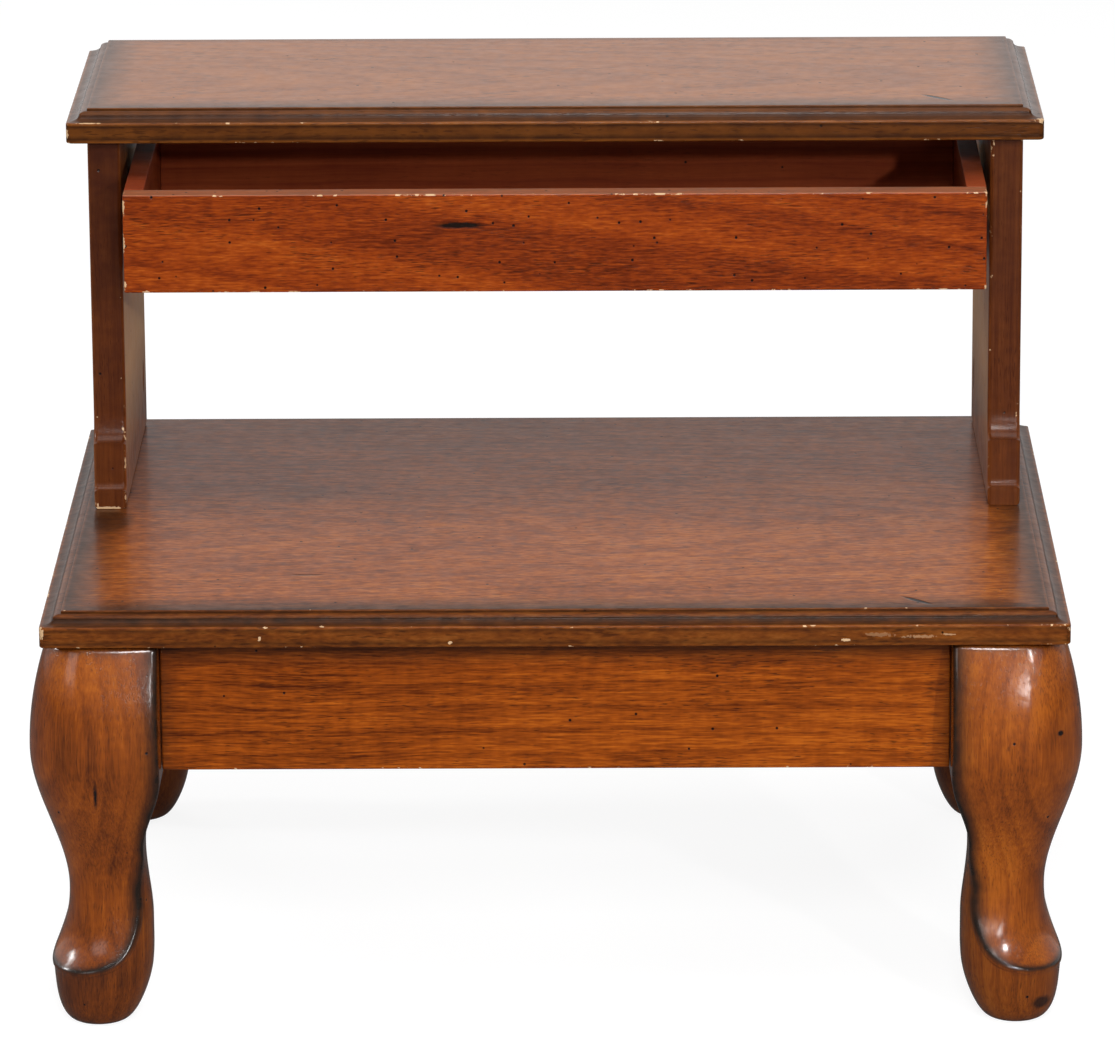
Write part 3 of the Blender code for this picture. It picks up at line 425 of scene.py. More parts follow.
# Cherry-stained hardwood under satin lacquer: orange brown, with dark pores, wiped glaze and worn arrises
cherry = {
    "grain": "x",
    "colours": ("#4a2009", "#71370e", "#8b4712", "#a75f1c"),   # dark, mid dark, mid, light
    "drift": (0, 0, 0),                                        # change of tone per mm: painted light and shade across a piece
    "wander": (140, 45, 7),                                    # mm along, mm across, mm of shift
    # mm long, mm wide, detail, weight
    "layers": ((60, 1.2, 3.0, 0.5), (16, 0.8, 2.0, 0.35), (100, 24, 2.0, 0.5), (5, 16, 2.0, 0.2)),
    "rings": {"heart": (0, 0, 0), "lean": 0.0, "width": 9.0, "weight": 0.14},
    "pores": {"length": 6.5, "width": 0.55, "least": 0.8, "depth": 0.7, "colour": "#2c1206"},
    "glazeAndShadeColour": "#26190f",
    "wormSpacing": 16.0,
    "chipLeast": 1.27,
    "chipColour": "#c9a67f",
    "thinColour": "#b37c48",
    "thinAndShadeByHeight": ((0, 1.0), (500, 1.0)),                    # mm above the floor, share
    "bump": 0.3,
    "rough": 0.42,
    "sheen": 0.04,
    "coat": 0.7,
    "coatRough": 0.15,
    "coatIor": 1.35,
}
# seen at a low angle, the grain of the treads shows only where it is some mm wide
tread = dict(cherry,
             layers=((13, 2.6, 3.0, 0.56), (5.5, 1.8, 2.0, 0.6), (110, 34, 2.0, 0.4), (6, 18, 2.0, 0.16)),
             pores={"length": 7.0, "width": 1.2, "least": 0.785, "depth": 0.55, "colour": "#2c1206"})
looks = {
    "lowerBoard": dict(
        tread, colours=("#4a2008", "#733811", "#8e4a16", "#aa6224"), coat=0.64,
        # drift: painted light, lighter to the right, and painted shade, darker towards the back under the
        # upper step
        coatRough=0.18, coatIor=1.15, glazeAndShadeColour="#29170b", drift=(0.00014, -0.0003, 0),
        rings={"heart": (0, -40, 150), "lean": 0.12, "width": 8.0, "weight": 0.12},
        marks=[
            {"at": (197.5, -179.5, 239), "half": (13, 2.3, 4), "depth": 1.0,
             "turn": (0, 0, -0.8)},
            {"at": (-137, -126, 239), "half": (11, 1.4, 3), "depth": 0.7},
            {"at": (-148, 37, 239), "half": (34, 20, 9), "depth": 0.22},
            {"at": (-253, -16, 239), "half": (15, 30, 9), "depth": 0.68},
        ],
        bareSpots=[
            {"at": (-279.6, -204.4, 231), "half": (2.2, 2.2, 5)},
            {"at": (-157, -205, 232.5), "half": (1.2, 1.5, 0.9)},
            {"at": (-160, -205, 226), "half": (0.9, 1.5, 1.4)},
            {"at": (-57, -205, 223.6), "half": (1.3, 1.5, 0.8)},
            {"at": (-126, -204, 233), "half": (1.6, 1.5, 0.5)},
            {"at": (280, -204.6, 230), "half": (1.6, 1.6, 3.5)},
            {"at": (158, -205, 224.4), "half": (2.2, 1.5, 0.9)},
            {"at": (176, -205, 227.4), "half": (8, 1.5, 1.2), "share": 0.2},
            {"at": (199, -205, 226.2), "half": (9, 1.5, 0.9), "share": 0.3},
            {"at": (214, -205, 227.4), "half": (3.5, 1.5, 0.6), "share": 0.5},
            {"at": (169, -193.5, 239.6), "half": (0.9, 1.2, 0.8)},
            {"at": (191, -193.5, 239.6), "half": (0.9, 1.2, 0.8)},
            {"at": (-133, -193.5, 239.6), "half": (0.9, 1.2, 0.8)},
            {"at": (-266.5, -193, 239.6), "half": (1.0, 1.2, 0.8)},
        ]),
    "upperBoard": dict(
        tread, colours=("#50260b", "#7c4316", "#96561d", "#b16e2e"), coat=0.94, coatRough=0.2,
        coatIor=1.19, glazeAndShadeColour="#301706",
        layers=((13, 2.6, 3.0, 0.22), (5.5, 1.8, 2.0, 0.2), (110, 34, 2.0, 0.22),
                (6, 18, 2.0, 0.12)),
        rings={"heart": (0, 90, 380), "lean": 0.1, "width": 8.0, "weight": 0.1},
        marks=[
            {"at": (216.2, 36.9, 471), "half": (14, 2.3, 4), "depth": 1.0,
             "turn": (0, 0, -0.77)},
        ],
        bareSpots=[
            {"at": (273.6, 8.4, 464.5), "half": (2.4, 2.6, 2.2)},
            {"at": (-184, 7, 464.6), "half": (1.3, 1.5, 0.9)},
            {"at": (-211, 7.4, 465), "half": (4, 1.2, 0.4)},
            {"at": (-262, 7.6, 464.8), "half": (7, 1.4, 0.4)},
            {"at": (-274.4, 9, 459), "half": (1.2, 2.5, 3)},
        ]),
    "drawerFront": dict(
        cherry, colours=("#4d1905", "#712a08", "#89380a", "#a24e14"), coat=0.4,
        # drift: painted shade, darker towards the right end
        drift=(-0.0001, 0, 0),
        layers=((15, 1.1, 3.0, 0.68), (6, 0.8, 2.0, 0.68), (100, 24, 2.0, 0.28),
                (5, 16, 2.0, 0.14)),
        thinColour="#a87a5c",
        rings={"heart": (90, 20, 382), "lean": 0.16, "width": 13.0, "weight": 0.2},
        marks=[{"at": (-53, -29.5, 414), "half": (17, 3, 2.2), "depth": 1.0}],
        bareSpots=[
            {"at": (-241.3, -29.2, 426), "half": (0.9, 1.5, 3.5)},
            {"at": (-241.3, -29.2, 404), "half": (0.7, 1.5, 5)},
            {"at": (-241.2, -29.2, 380), "half": (1.1, 1.5, 2.2)},
            {"at": (-229, -29.3, 376), "half": (1.6, 1.2, 0.9)},
            {"at": (241.2, -29.2, 377), "half": (1.2, 1.2, 1.6)},
        ],
        wormSpacing=9.0, chipLeast=1.2),
    "apron": dict(
        # drift: painted light, lighter towards the right
        cherry, colours=("#4c1c04", "#773508", "#91440b", "#ae5a13"), drift=(0.0003, 0, 0),
        layers=((34, 1.2, 3.0, 0.72), (10, 0.8, 2.0, 0.74), (100, 24, 2.0, 0.45),
                (5, 16, 2.0, 0.2)),
        coat=0.4, wormSpacing=15.0),
    "leg": dict(
        cherry, grain="z", colours=("#4b2006", "#723509", "#89430b", "#a35713"),
        # drift: painted light, the right legs lighter than the left
        drift=(0.00022, 0, 0),
        layers=((50, 1.4, 3.0, 0.4), (12, 0.8, 2.0, 0.44), (60, 34, 2.0, 0.9), (5, 16, 2.0, 0.16)),
        pores={"length": 6.0, "width": 0.5, "least": 0.79, "depth": 0.55, "colour": "#3a1a08"},
        coat=1.0, coatRough=0.17, coatIor=1.45, glazeAndShadeColour="#1d120b",
        marks=[
            {"at": (-251, -205, 140), "half": (1.6, 12, 12.5), "depth": 1.0},
            {"at": (275, -206, 171), "half": (2.1, 12, 2.1), "depth": 1.0},
            {"at": (267, -196, 12.7), "half": (6.5, 14, 4.5), "depth": 0.85},
        ]),
    "panel": dict(
        cherry, grain="z", colours=("#48200b", "#713a16", "#894a1e", "#a1602c"),
        glazeAndShadeColour="#3d190a",
        # the thin stain fades out towards the bottom, and above the drawer painted shade under the upper
        # board takes its place
        thinColour="#dba468", thinAndShadeByHeight=((256, 0.05), (312, 1.0), (366, 1.0), (392, 0.0)),
        coat=0.55, coatRough=0.2, chipLeast=1.26,
        bareSpots=[
            {"at": (-254.5, 8.6, 239.8), "half": (9.6, 2.5, 0.75)},
            # pale lines up the inner front arris of the foot: wear, and partly a painted highlight of the
            # curved arris
            {"at": (-245.9, 10.5, 266), "half": (0.7, 2.5, 9)},
            {"at": (-245.9, 15.5, 287), "half": (0.7, 2.5, 5)},
            {"at": (-245.9, 8.8, 246), "half": (0.6, 1.5, 3)},
        ]),
}
boardMaterials = {
    "lower_step_board": woodMaterial("cherryStainedLacquered.lowerBoard", looks["lowerBoard"]),
    "upper_step_board": woodMaterial("cherryStainedLacquered.upperBoard", looks["upperBoard"]),
}
drawerFrontMaterial = woodMaterial("cherryStainedLacquered.drawerFront", looks["drawerFront"])
apronMaterial = woodMaterial("cherryStainedLacquered.apron", looks["apron"])
legMaterial = woodMaterial("cherryStainedLacquered.leg", looks["leg"])
panelMaterial = woodMaterial("cherryStainedLacquered.panel", looks["panel"])
print("cherry materials made")

# Planed poplar with a thin wash of stain: redder and duller than the outside, with little figure
poplar = dict(cherry, colours=("#4e1b0c", "#762f15", "#883c1b", "#9d4c26"), coat=0.25, coatRough=0.45,
              rough=0.6, chipLeast=1.35,
              layers=((60, 1.2, 3.0, 0.25), (16, 0.8, 2.0, 0.18), (100, 24, 2.0, 0.4), (5, 16, 2.0, 0.1)),
              pores={"length": 6.5, "width": 0.55, "least": 0.84, "depth": 0.3, "colour": "#2a0f06"})
poplarMaterial = woodMaterial("poplarStainedPlaned", poplar)
plywoodMaterial = woodMaterial("plywoodStainedSanded", dict(poplar, wander=(90, 60, 16)))
# Planed pine, left bare: pale, with wide soft rings
pine = dict(poplar, grain="y", colours=("#a87a49", "#c0945d", "#cda46e", "#dab988"),
            rings={"heart": (0, 0, 0), "lean": 0.05, "width": 6.0, "weight": 0.4},
            coat=0.0, rough=0.62, wormSpacing=60.0, chipColour="#d8bc90")
pineMaterial = woodMaterial("pinePlanedBare", pine)
# Waxed beech: even tan with short flecks
beech = dict(pine, colours=("#9c7043", "#b58855", "#c19762", "#cfa975"), grain="y", coat=0.1, rough=0.5,
             pores={"length": 3.0, "width": 0.7, "least": 0.8, "depth": 0.5, "colour": "#6b4526"})
beechMaterial = woodMaterial("beechPlanedWaxed", beech)

# Zinc-plated steel: pale grey metal with a mottled, slightly yellow passivated skin
zinc = {
    "mottle": 2.5,   # mm
    "skin": ((0.35, "#a8a294"), (0.65, "#c9c6bd")),
    "roughRange": {"From Min": 0.3, "From Max": 0.7, "To Min": 0.26, "To Max": 0.44},
}
zincMaterial = bpy.data.materials.new("steelZincPlated")
zincMaterial.use_nodes = True
tree = zincMaterial.node_tree
metres = addNode(tree, "TexCoord").outputs["Object"]
mottle = addNode(tree, "TexNoise", {"Scale": 1 / (zinc["mottle"] * mm), "Detail": 4.0}, {"Vector": metres})
mottle = mottle.outputs["Fac"]
stops = [(place, linear(code)) for place, code in zinc["skin"]]
skin = addNode(tree, "ValToRGB", {"stops": stops}, {"Fac": mottle})
rough = addNode(tree, "MapRange", zinc["roughRange"], {"Value": mottle})
shader = tree.nodes["Principled BSDF"]
shader.inputs["Metallic"].default_value = 1.0
tree.links.new(skin.outputs["Color"], shader.inputs["Base Color"])
tree.links.new(rough.outputs[0], shader.inputs["Roughness"])
print("inner materials made")


# Step boards, with the ogee moulding round the front and the ends

board = {
    "mouldRun": 11.4, "fillet": 1.3, "beadRun": 4.4, "beadDrop": 2.1, "lip": 0.6, "coveDrop": 2.9,   # mm
    "arris": 0.9, "arrisSteps": 3,   # worn rounding of the band's edges
    "steps": 8,                      # facets of each curve
    "acrossCount": 70, "endCount": 46,
    "endStart": (0, 0.006, 0.016, 0.03, 0.055),   # closer rows at the back
    "wobble": 0.16, "wobbleSize": 17.0, "wobbleSpread": 4,   # hand-rubbed waviness of the moulding
    "corner": 3.4, "topCorner": 0.3, "cornerSteps": 5,   # front corners, less rounded towards the top
    # glaze, from the underside up
    "underGlaze": 0.55,
    "bandGlaze": {"lower_step_board": 0.53, "upper_step_board": 0.74},
    "bandShade": ((0.15, 0.25), (0.4, 0.0), (0.7, 0.0), (0.9, 0.25)),   # share of its height, more glaze
    # the bead's crest keeps less glaze: partly wiped off, partly a painted highlight of the moulding
    "lipGlaze": 0.45, "coveGlaze": (0.8, 1.0), "beadGlaze": (0.9, 0.35),
    "topEdge": ((0.0, -0.45, 0.8, 0), (0.15, -0.15, 0.55, 1), (0.5, 0.0, 0.65, 0)),   # like points; the arris point's lighter glaze is partly a painted highlight
    "topGlaze": {"lower_step_board": (0.97, 0.95), "upper_step_board": (0.92, 1.3)},   # and its power
    "glazeReach": 25.0, "glazeRows": (0.06, 0.14, 0.25, 0.4, 0.6, 0.8, 1.0),
    "rearReach": 5.0, "rearGlaze": 0.55,
    "underStepReach": 110.0,   # painted shade on the lower tread under the upper step: how far it reaches
    "underStepShade": {"lower_step_board": 0.3, "upper_step_board": 0.0},
}


def boardProfile(thick, bandGlaze, topGlaze, fade):
    # from the underside up and in: inset, height from the top, glaze and arris flag, in mm
    b = board
    beadEnd = b["mouldRun"] - b["beadRun"]
    coveTop = -b["fillet"] - b["beadDrop"]
    lipHeight = coveTop - b["coveDrop"]
    arris = b["arris"]
    arrisTurns = [math.pi / 2 * i / b["arrisSteps"] for i in range(b["arrisSteps"] + 1)]
    curveTurns = [math.pi / 2 * i / b["steps"] for i in range(1, b["steps"] + 1)]
    points = []
    for t in arrisTurns:
        points.append((arris * (1 - math.sin(t)), -thick + arris * (1 - math.cos(t)), b["underGlaze"], 1))
    for share, more in b["bandShade"]:
        points.append((0.0, blend(-thick + arris, lipHeight - arris, share), bandGlaze + more, 0))
    for t in arrisTurns:
        points.append((arris * (1 - math.cos(t)), lipHeight - arris * (1 - math.sin(t)), b["lipGlaze"], 1))
    start = max(b["lip"], arris + 0.1)
    for i, t in enumerate(curveTurns):
        run = blend(start, beadEnd, math.sin(t))
        glaze = blend(*b["coveGlaze"], (i + 1) / b["steps"])
        points.append((run, lipHeight + b["coveDrop"] * (1 - math.cos(t)), glaze, 0))
    # less glaze towards the crest, partly a painted highlight
    hollow, crest = b["beadGlaze"]
    for t in curveTurns:
        run = beadEnd + b["beadRun"] * (1 - math.cos(t))
        glaze = blend(hollow, crest + bandGlaze / 2, math.sin(2 * t))
        points.append((run, coveTop + b["beadDrop"] * math.sin(t), glaze, 0))
    for run, rise, glaze, flag in b["topEdge"]:
        points.append((b["mouldRun"] + run, rise, glaze, flag))
    topStart = points[-1][0]
    for share in b["glazeRows"]:
        points.append((topStart + share * b["glazeReach"], 0.0, topGlaze * (1 - share) ** fade, 0))
    return points


def stepBoard(node):
    low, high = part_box(node)
    halfWidth = high.x
    thick = (high.z - low.z) / mm
    profile = boardProfile(thick, board["bandGlaze"][node], *board["topGlaze"][node])
    *endShares, endStart = board["endStart"]
    endShares += [blend(endStart, 1, i / board["endCount"]) for i in range(board["endCount"] + 1)]
    acrossShares = [i / board["acrossCount"] for i in range(board["acrossCount"] + 1)]
    bm = bmesh.new()
    glazeAndShadeLayer = bm.verts.layers.float.new("glaze")
    edgeLayer = bm.faces.layers.float.new("edge")

    def addPoint(x, y, z, glaze):
        vert = bm.verts.new((x, y, z))
        rear = math.exp(-((high.y - y) / (board["rearReach"] * mm)) ** 2)
        # painted shade on the lower tread, fading out from the back under the upper step
        far = max(0.0, 1 - (high.y - y) / (board["underStepReach"] * mm))
        vert[glazeAndShadeLayer] = max(glaze, board["rearGlaze"] * rear, board["underStepShade"][node] * far)
        return vert

    rings = []
    for inset, height, glaze, flag in profile:
        side = halfWidth - inset * mm
        front = low.y + inset * mm
        z = high.z + height * mm
        bend = blend(board["corner"], board["topCorner"], min(1.0, inset / board["mouldRun"])) * mm
        turns = [math.pi / 2 * i / board["cornerSteps"] for i in range(1, board["cornerSteps"])]
        path = [(-side, blend(high.y, front + bend, s)) for s in endShares]
        path += [(-side + bend * (1 - math.sin(t)), front + bend * (1 - math.cos(t))) for t in turns[::-1]]
        path += [(blend(-side + bend, side - bend, s), front) for s in acrossShares]
        path += [(side - bend * (1 - math.sin(t)), front + bend * (1 - math.cos(t))) for t in turns]
        path += [(side, blend(high.y, front + bend, s)) for s in reversed(endShares)]
        wavy = 0.1 - thick < height < -0.01   # the underside and the tread stay flat
        ring = []
        for x, y in path:
            place = Vector((x, y, inset * board["wobbleSpread"] * mm)) / (board["wobbleSize"] * mm)
            lift = board["wobble"] * mm * noise.noise(place) if wavy else 0.0
            ring.append(addPoint(x, y, z + lift, glaze))
        rings.append((ring, flag))
    for (below, flagBelow), (above, flagAbove) in zip(rings, rings[1:]):
        for i in range(len(below) - 1):
            face = bm.faces.new((below[i], below[i + 1], above[i + 1], above[i]))
            face[edgeLayer] = 1.0 if flagBelow and flagAbove else 0.0

    # the flat of the tread, as a grid inside the last ring
    inner = rings[-1][0]
    rows = len(endShares)
    columns = len(acrossShares)
    corner = board["cornerSteps"] - 1
    left = inner[:rows]
    frontRow = inner[rows + corner:rows + corner + columns]
    right = inner[-rows:][::-1]
    grid = []
    for r in range(rows):
        glaze = left[r][glazeAndShadeLayer] if r == rows - 1 else 0.0
        between = [addPoint(v.co.x, left[r].co.y, high.z, glaze) for v in frontRow]
        grid.append([left[r], *between, right[r]])
    for near, far in zip(grid, grid[1:]):
        for i in range(len(near) - 1):
            bm.faces.new((near[i], near[i + 1], far[i + 1], far[i]))
    last = grid[-1][1:-1]
    for i in range(columns - 1):
        bm.faces.new((last[i], last[i + 1], frontRow[i + 1], frontRow[i]))
    bm.faces.new([last[0], left[-1], *inner[rows:rows + corner], frontRow[0]])
    bm.faces.new([last[-1], frontRow[-1], *inner[rows + corner + columns:-rows], right[-1]])
    bm.faces.new(rings[0][0])
    leftEnd = [ring[0] for ring, flag in rings]
    rightEnd = [ring[-1] for ring, flag in reversed(rings)]
    bm.faces.new(leftEnd + grid[0][1:-1] + rightEnd)
    piece = addPiece(node + "_moulded", bm, boardMaterials[node], "stool", node, sharpAngle=50)
    evenNormals(piece)
    return piece


for node in boardMaterials:
    stepBoard(node)
print("step boards made")


# Side panels with a shaped foot

panel = {
    "toeReach": 10.6, "toeHeight": 11.0, "stepRun": 3.0, "stepRise": 4.0,   # mm
    "coveBase": 38.0, "coveRise": 16.0, "steps": 14, "arris": 2.4,
    "frontGlazeAndShade": {"left": (0.72, 0.97), "right": (0.7, 0.78)},   # glaze and painted shade, at the foot and at the top: painted shade rising towards the board, and more of it on the left panel, which the drawer shades
    "glazeRim": 0.9, "glazeDepth": 4.0, "innerThin": 0.95,
    "pocketRadius": 3.5, "pocketAngle": math.radians(20), "pocketRise": 35.0, "pocketShoulder": 12.0,
    "pocketRear": 24.0,
}


def carve(piece, cutter):
    modifier = piece.modifiers.new("carve", "BOOLEAN")
    modifier.solver = "EXACT"
    modifier.object = cutter
    bpy.context.view_layer.update()
    cut = bpy.data.meshes.new_from_object(piece.evaluated_get(bpy.context.evaluated_depsgraph_get()))
    piece.modifiers.remove(modifier)
    piece.data = cut
    bpy.data.objects.remove(cutter, do_unlink=True)


def sidePanel(side, sign):
    node = "side_panel_" + side
    low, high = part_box(node)
    p = panel
    front = low.y + p["toeReach"] * mm
    outline = [(high.y, low.z), (high.y, high.z), (front, high.z)]
    step = front - (p["toeReach"] - p["stepRun"]) * mm
    coves = ((front, step, p["coveBase"], p["coveRise"]), (step, low.y, p["toeHeight"], p["stepRise"]))
    for inner, outer, base, rise in coves:
        for i in range(p["steps"] + 1):
            t = math.pi / 2 * i / p["steps"]
            y = blend(inner, outer, 1 - math.cos(t))
            outline.append((y, low.z + (base + rise * (1 - math.sin(t))) * mm))
    outline.append((low.y, low.z))
    bm = bmesh.new()
    face = bm.faces.new([bm.verts.new((low.x, y, z)) for y, z in outline])
    grown = bmesh.ops.extrude_face_region(bm, geom=[face])["geom"]
    moved = [item for item in grown if isinstance(item, bmesh.types.BMVert)]
    bmesh.ops.translate(bm, vec=(high.x - low.x, 0, 0), verts=moved)
    bmesh.ops.recalc_face_normals(bm, faces=bm.faces)
    rims = [e for e in bm.edges if abs(e.verts[0].co.x - e.verts[1].co.x) < 1e-6]
    bmesh.ops.bevel(bm, geom=rims, offset=p["arris"] * mm, segments=4, profile=0.5, affect="EDGES")
    bm.normal_update()
    edgeLayer = bm.faces.layers.float.new("edge")
    for item in bm.faces:
        if 0.05 < abs(item.normal.x) < 0.999:
            item[edgeLayer] = 1.0
    glazeAndShadeLayer = bm.verts.layers.float.new("glaze")
    for vert in bm.verts:
        if vert.co.y < front + p["glazeDepth"] * mm:
            depth = min(vert.co.x - low.x, high.x - vert.co.x) / (p["glazeRim"] * mm)
            rise = (vert.co.z - low.z) / (high.z - low.z)
            # glaze with painted shade, rising towards the upper board
            vert[glazeAndShadeLayer] = blend(*p["frontGlazeAndShade"][side], rise) * min(1.0, max(0.0, depth))
    thinLayer = bm.faces.layers.float.new("thin")
    for item in bm.faces:
        if item.normal.x * sign < -0.99:
            item[thinLayer] = p["innerThin"]
    piece = addPiece(node + "_shaped", bm, panelMaterial, "stool", node, sharpAngle=38)

    # pocket hole near the rear edge, for the screw into the lower board
    innerX = low.x if sign > 0 else high.x
    down = Vector((sign * math.sin(p["pocketAngle"]), 0, -math.cos(p["pocketAngle"])))
    mouth = Vector((innerX, high.y - p["pocketRear"] * mm, low.z + p["pocketRise"] * mm))
    depth = p["pocketShoulder"] / math.cos(p["pocketAngle"]) * mm
    length = depth + p["pocketRise"] * mm
    bm = bmesh.new()
    bmesh.ops.create_cone(bm, cap_ends=True, segments=32, radius1=p["pocketRadius"] * mm,
                          radius2=p["pocketRadius"] * mm, depth=length)
    turn = down.to_track_quat("Z", "Y").to_matrix().to_4x4()
    middle = Matrix.Translation(mouth + down * (depth - length / 2))
    bmesh.ops.transform(bm, matrix=middle @ turn, verts=bm.verts)
    mesh = bpy.data.meshes.new("pocketBore")
    bm.to_mesh(mesh)
    bm.free()
    bore = bpy.data.objects.new("pocketBore", mesh)
    scene.collection.objects.link(bore)
    carve(piece, bore)
    evenNormals(piece)
    return piece


for side, sign in (("left", -1), ("right", 1)):
    sidePanel(side, sign)
print("side panels made")


# Planks: aprons and drawer front

plank = {
    "apronArris": 1.2, "drawerArris": 0.9, "tenon": 14.3,     # mm
    "glazeReach": 17.0, "topGlaze": 0.95, "endGlazeAndShade": 0.5,    # of the aprons towards the board and legs: glaze, and painted shade under the board's overhang and against the legs
    "glazeCuts": (0.25, 0.5, 0.75, 1.0),
    "drawerTop": 0.34,                                        # paler top face of the drawer front: wear, and partly a painted sheen
}


def makePlank(node, material, body, arris, trim=(0, 0, 0), glazedAndShaded=True):
    low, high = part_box(node)
    low = low + Vector(trim)
    high = high - Vector(trim)
    bm = bmesh.new()
    bmesh.ops.create_cube(bm, size=1.0)
    bmesh.ops.scale(bm, vec=high - low, verts=bm.verts)
    bmesh.ops.translate(bm, vec=(low + high) / 2, verts=bm.verts)
    bmesh.ops.bevel(bm, geom=bm.edges[:], offset=arris * mm, segments=3, profile=0.5, affect="EDGES")
    bm.normal_update()
    markArrises(bm)
    if glazedAndShaded:
        reach = plank["glazeReach"] * mm
        axis = 0 if high.x - low.x > high.y - low.y else 1
        along = Vector((1 - axis, axis, 0))
        for share in plank["glazeCuts"]:
            cuts = [(high - Vector((0, 0, reach * share)), Vector((0, 0, 1)))]
            cuts += [(low + along * reach * share, along), (high - along * reach * share, along)]
            for place, across in cuts:
                bmesh.ops.bisect_plane(bm, geom=bm.verts[:] + bm.edges[:] + bm.faces[:], plane_co=place,
                                       plane_no=across)
        glazeAndShadeLayer = bm.verts.layers.float.new("glaze")
        # glaze with painted shade: darker under the board's overhang and towards the legs
        for vert in bm.verts:
            top = max(0.0, 1 - (high.z - vert.co.z) / reach)
            end = max(0.0, 1 - min(vert.co[axis] - low[axis], high[axis] - vert.co[axis]) / reach)
            vert[glazeAndShadeLayer] = max(plank["topGlaze"] * top, plank["endGlazeAndShade"] * end ** 2)
    else:
        thinLayer = bm.faces.layers.float.new("thin")
        for face in bm.faces:
            face[thinLayer] = plank["drawerTop"] if face.normal.z > 0.6 else 0.0
    piece = addPiece(node + "_planed", bm, material, body, node)
    evenNormals(piece)
    return piece


tenon = plank["tenon"] * mm
for node in ("front_apron", "back_apron"):
    makePlank(node, apronMaterial, "stool", plank["apronArris"], (tenon, 0, 0))
sideApronMaterial = woodMaterial("cherryStainedLacquered.sideApron", dict(looks["apron"], grain="y"))
for node in ("side_apron_left", "side_apron_right"):
    makePlank(node, sideApronMaterial, "stool", plank["apronArris"], (0, tenon, 0))
makePlank("drawer_front", drawerFrontMaterial, "drawer", plank["drawerArris"], glazedAndShaded=False)
print("planks made")


# Cabriole legs: the round pad and square block, cut by the sawn knee, ankle and instep

leg = {   # mm
    "blockInner": 64.0, "blockFoot": 145.7, "blockArris": 2.0, "sweep": 44.0, "top": 220.7, "topArris": 3.0,
    "shoulderInset": 2.5, "shoulderRound": 22.0, "kneeHeight": 158.0, "kneeBulge": 8.6, "kneeRound": 30.0,
    "ankleHeight": 76.0, "ankleInset": 11.0, "ankleRound": 20.0, "ankleInner": 53.6,
    "toeHeight": 33.0, "toeFlare": 1.6, "toeRound": 37.0, "toeStart": 5.0, "neckHeight": 58.8,
    "padCentre": 29.0, "padRadius": 28.3, "padSole": 13.0, "padHeight": 46.0, "padLean": 2.4,
    "lip": 0.6, "lipReach": 2.6, "lipRise": 0.8, "lipFade": (45, 45),   # fades: a height, a reach above it
    "arris": (1.2, 4.0), "arrisFade": (70, 70),
    "crown": 2.2, "crownMiddle": 30.0, "crownFade": (55, 70),   # faces of the knee bulge a little
    "braceSeat": 114.0, "braceFoot": 180.4,
    "columns": 84, "middle": 31.0, "arrisFoot": 47.0, "farthest": 110.0,
    "glazeToe": 1.9, "glazeShin": 5.0, "glazeBlock": 8.5,   # reach of the dark line beside the arris
    "shinFade": (38, 30), "blockFade": (90, 40),
    # the top glaze is painted shade where the leg tucks under the board; the inner one is glaze and painted
    # shade on the inner sides of the feet
    "topGlaze": 0.6, "topReach": 7.0, "innerGlazeAndShade": 0.3, "inFade": (110, 30), "outwardShare": 0.8,
    # rows of the mesh: shares of the toe's height, spacings further up, and distances below the top
    "padRows": (0.0, 0.004, 0.012, 0.03, 0.06, 0.1, 0.15, 0.21, 0.28, 0.36, 0.45, 0.54, 0.63, 0.71, 0.79,
                0.86, 0.92, 0.96),
    "rimBelow": 1.2, "rimAbove": 12.0, "footStart": 12.2,
    "rimRows": 0.35, "footRows": 0.8, "shinRows": 1.3, "blockRows": 2.2, "upperRows": 2.4,
    "topRows": (3.2, 2.6, 2.0, 1.5, 1.0, 0.6, 0.3, 0.12),
    "rayCount": 400, "halvings": 36, "crowding": 1.5,
}


def blankEdge(z):
    # inset of the sawn outer curve
    g = leg
    shin = g["kneeHeight"] - g["ankleHeight"]
    above = (z - g["kneeHeight"]) / (g["top"] + 0.3 - g["kneeHeight"])
    shoulder = blend(-g["kneeBulge"], g["shoulderInset"], above * above)
    knee = blend(-g["kneeBulge"], g["ankleInset"], ease((g["kneeHeight"] - z) / shin))
    share = (g["ankleHeight"] - z) / (g["ankleHeight"] - g["toeHeight"])
    toe = g["ankleInset"] - (g["ankleInset"] + g["toeFlare"]) * share * share
    return np.where(z >= g["kneeHeight"], shoulder, np.where(z >= g["ankleHeight"], knee, toe))


def blankRound(z):
    g = leg
    shin = g["kneeHeight"] - g["ankleHeight"]
    toeFoot = g["toeHeight"] + g["toeStart"]
    upper = blend(g["kneeRound"], g["shoulderRound"], rising(z, g["kneeHeight"], g["top"] - g["kneeHeight"]))
    lower = blend(g["ankleRound"], g["kneeRound"], rising(z, g["ankleHeight"], shin))
    toe = blend(g["toeRound"], g["ankleRound"], rising(z, toeFoot, g["ankleHeight"] - toeFoot))
    return np.where(z >= g["kneeHeight"], upper, np.where(z >= g["ankleHeight"], lower, toe))


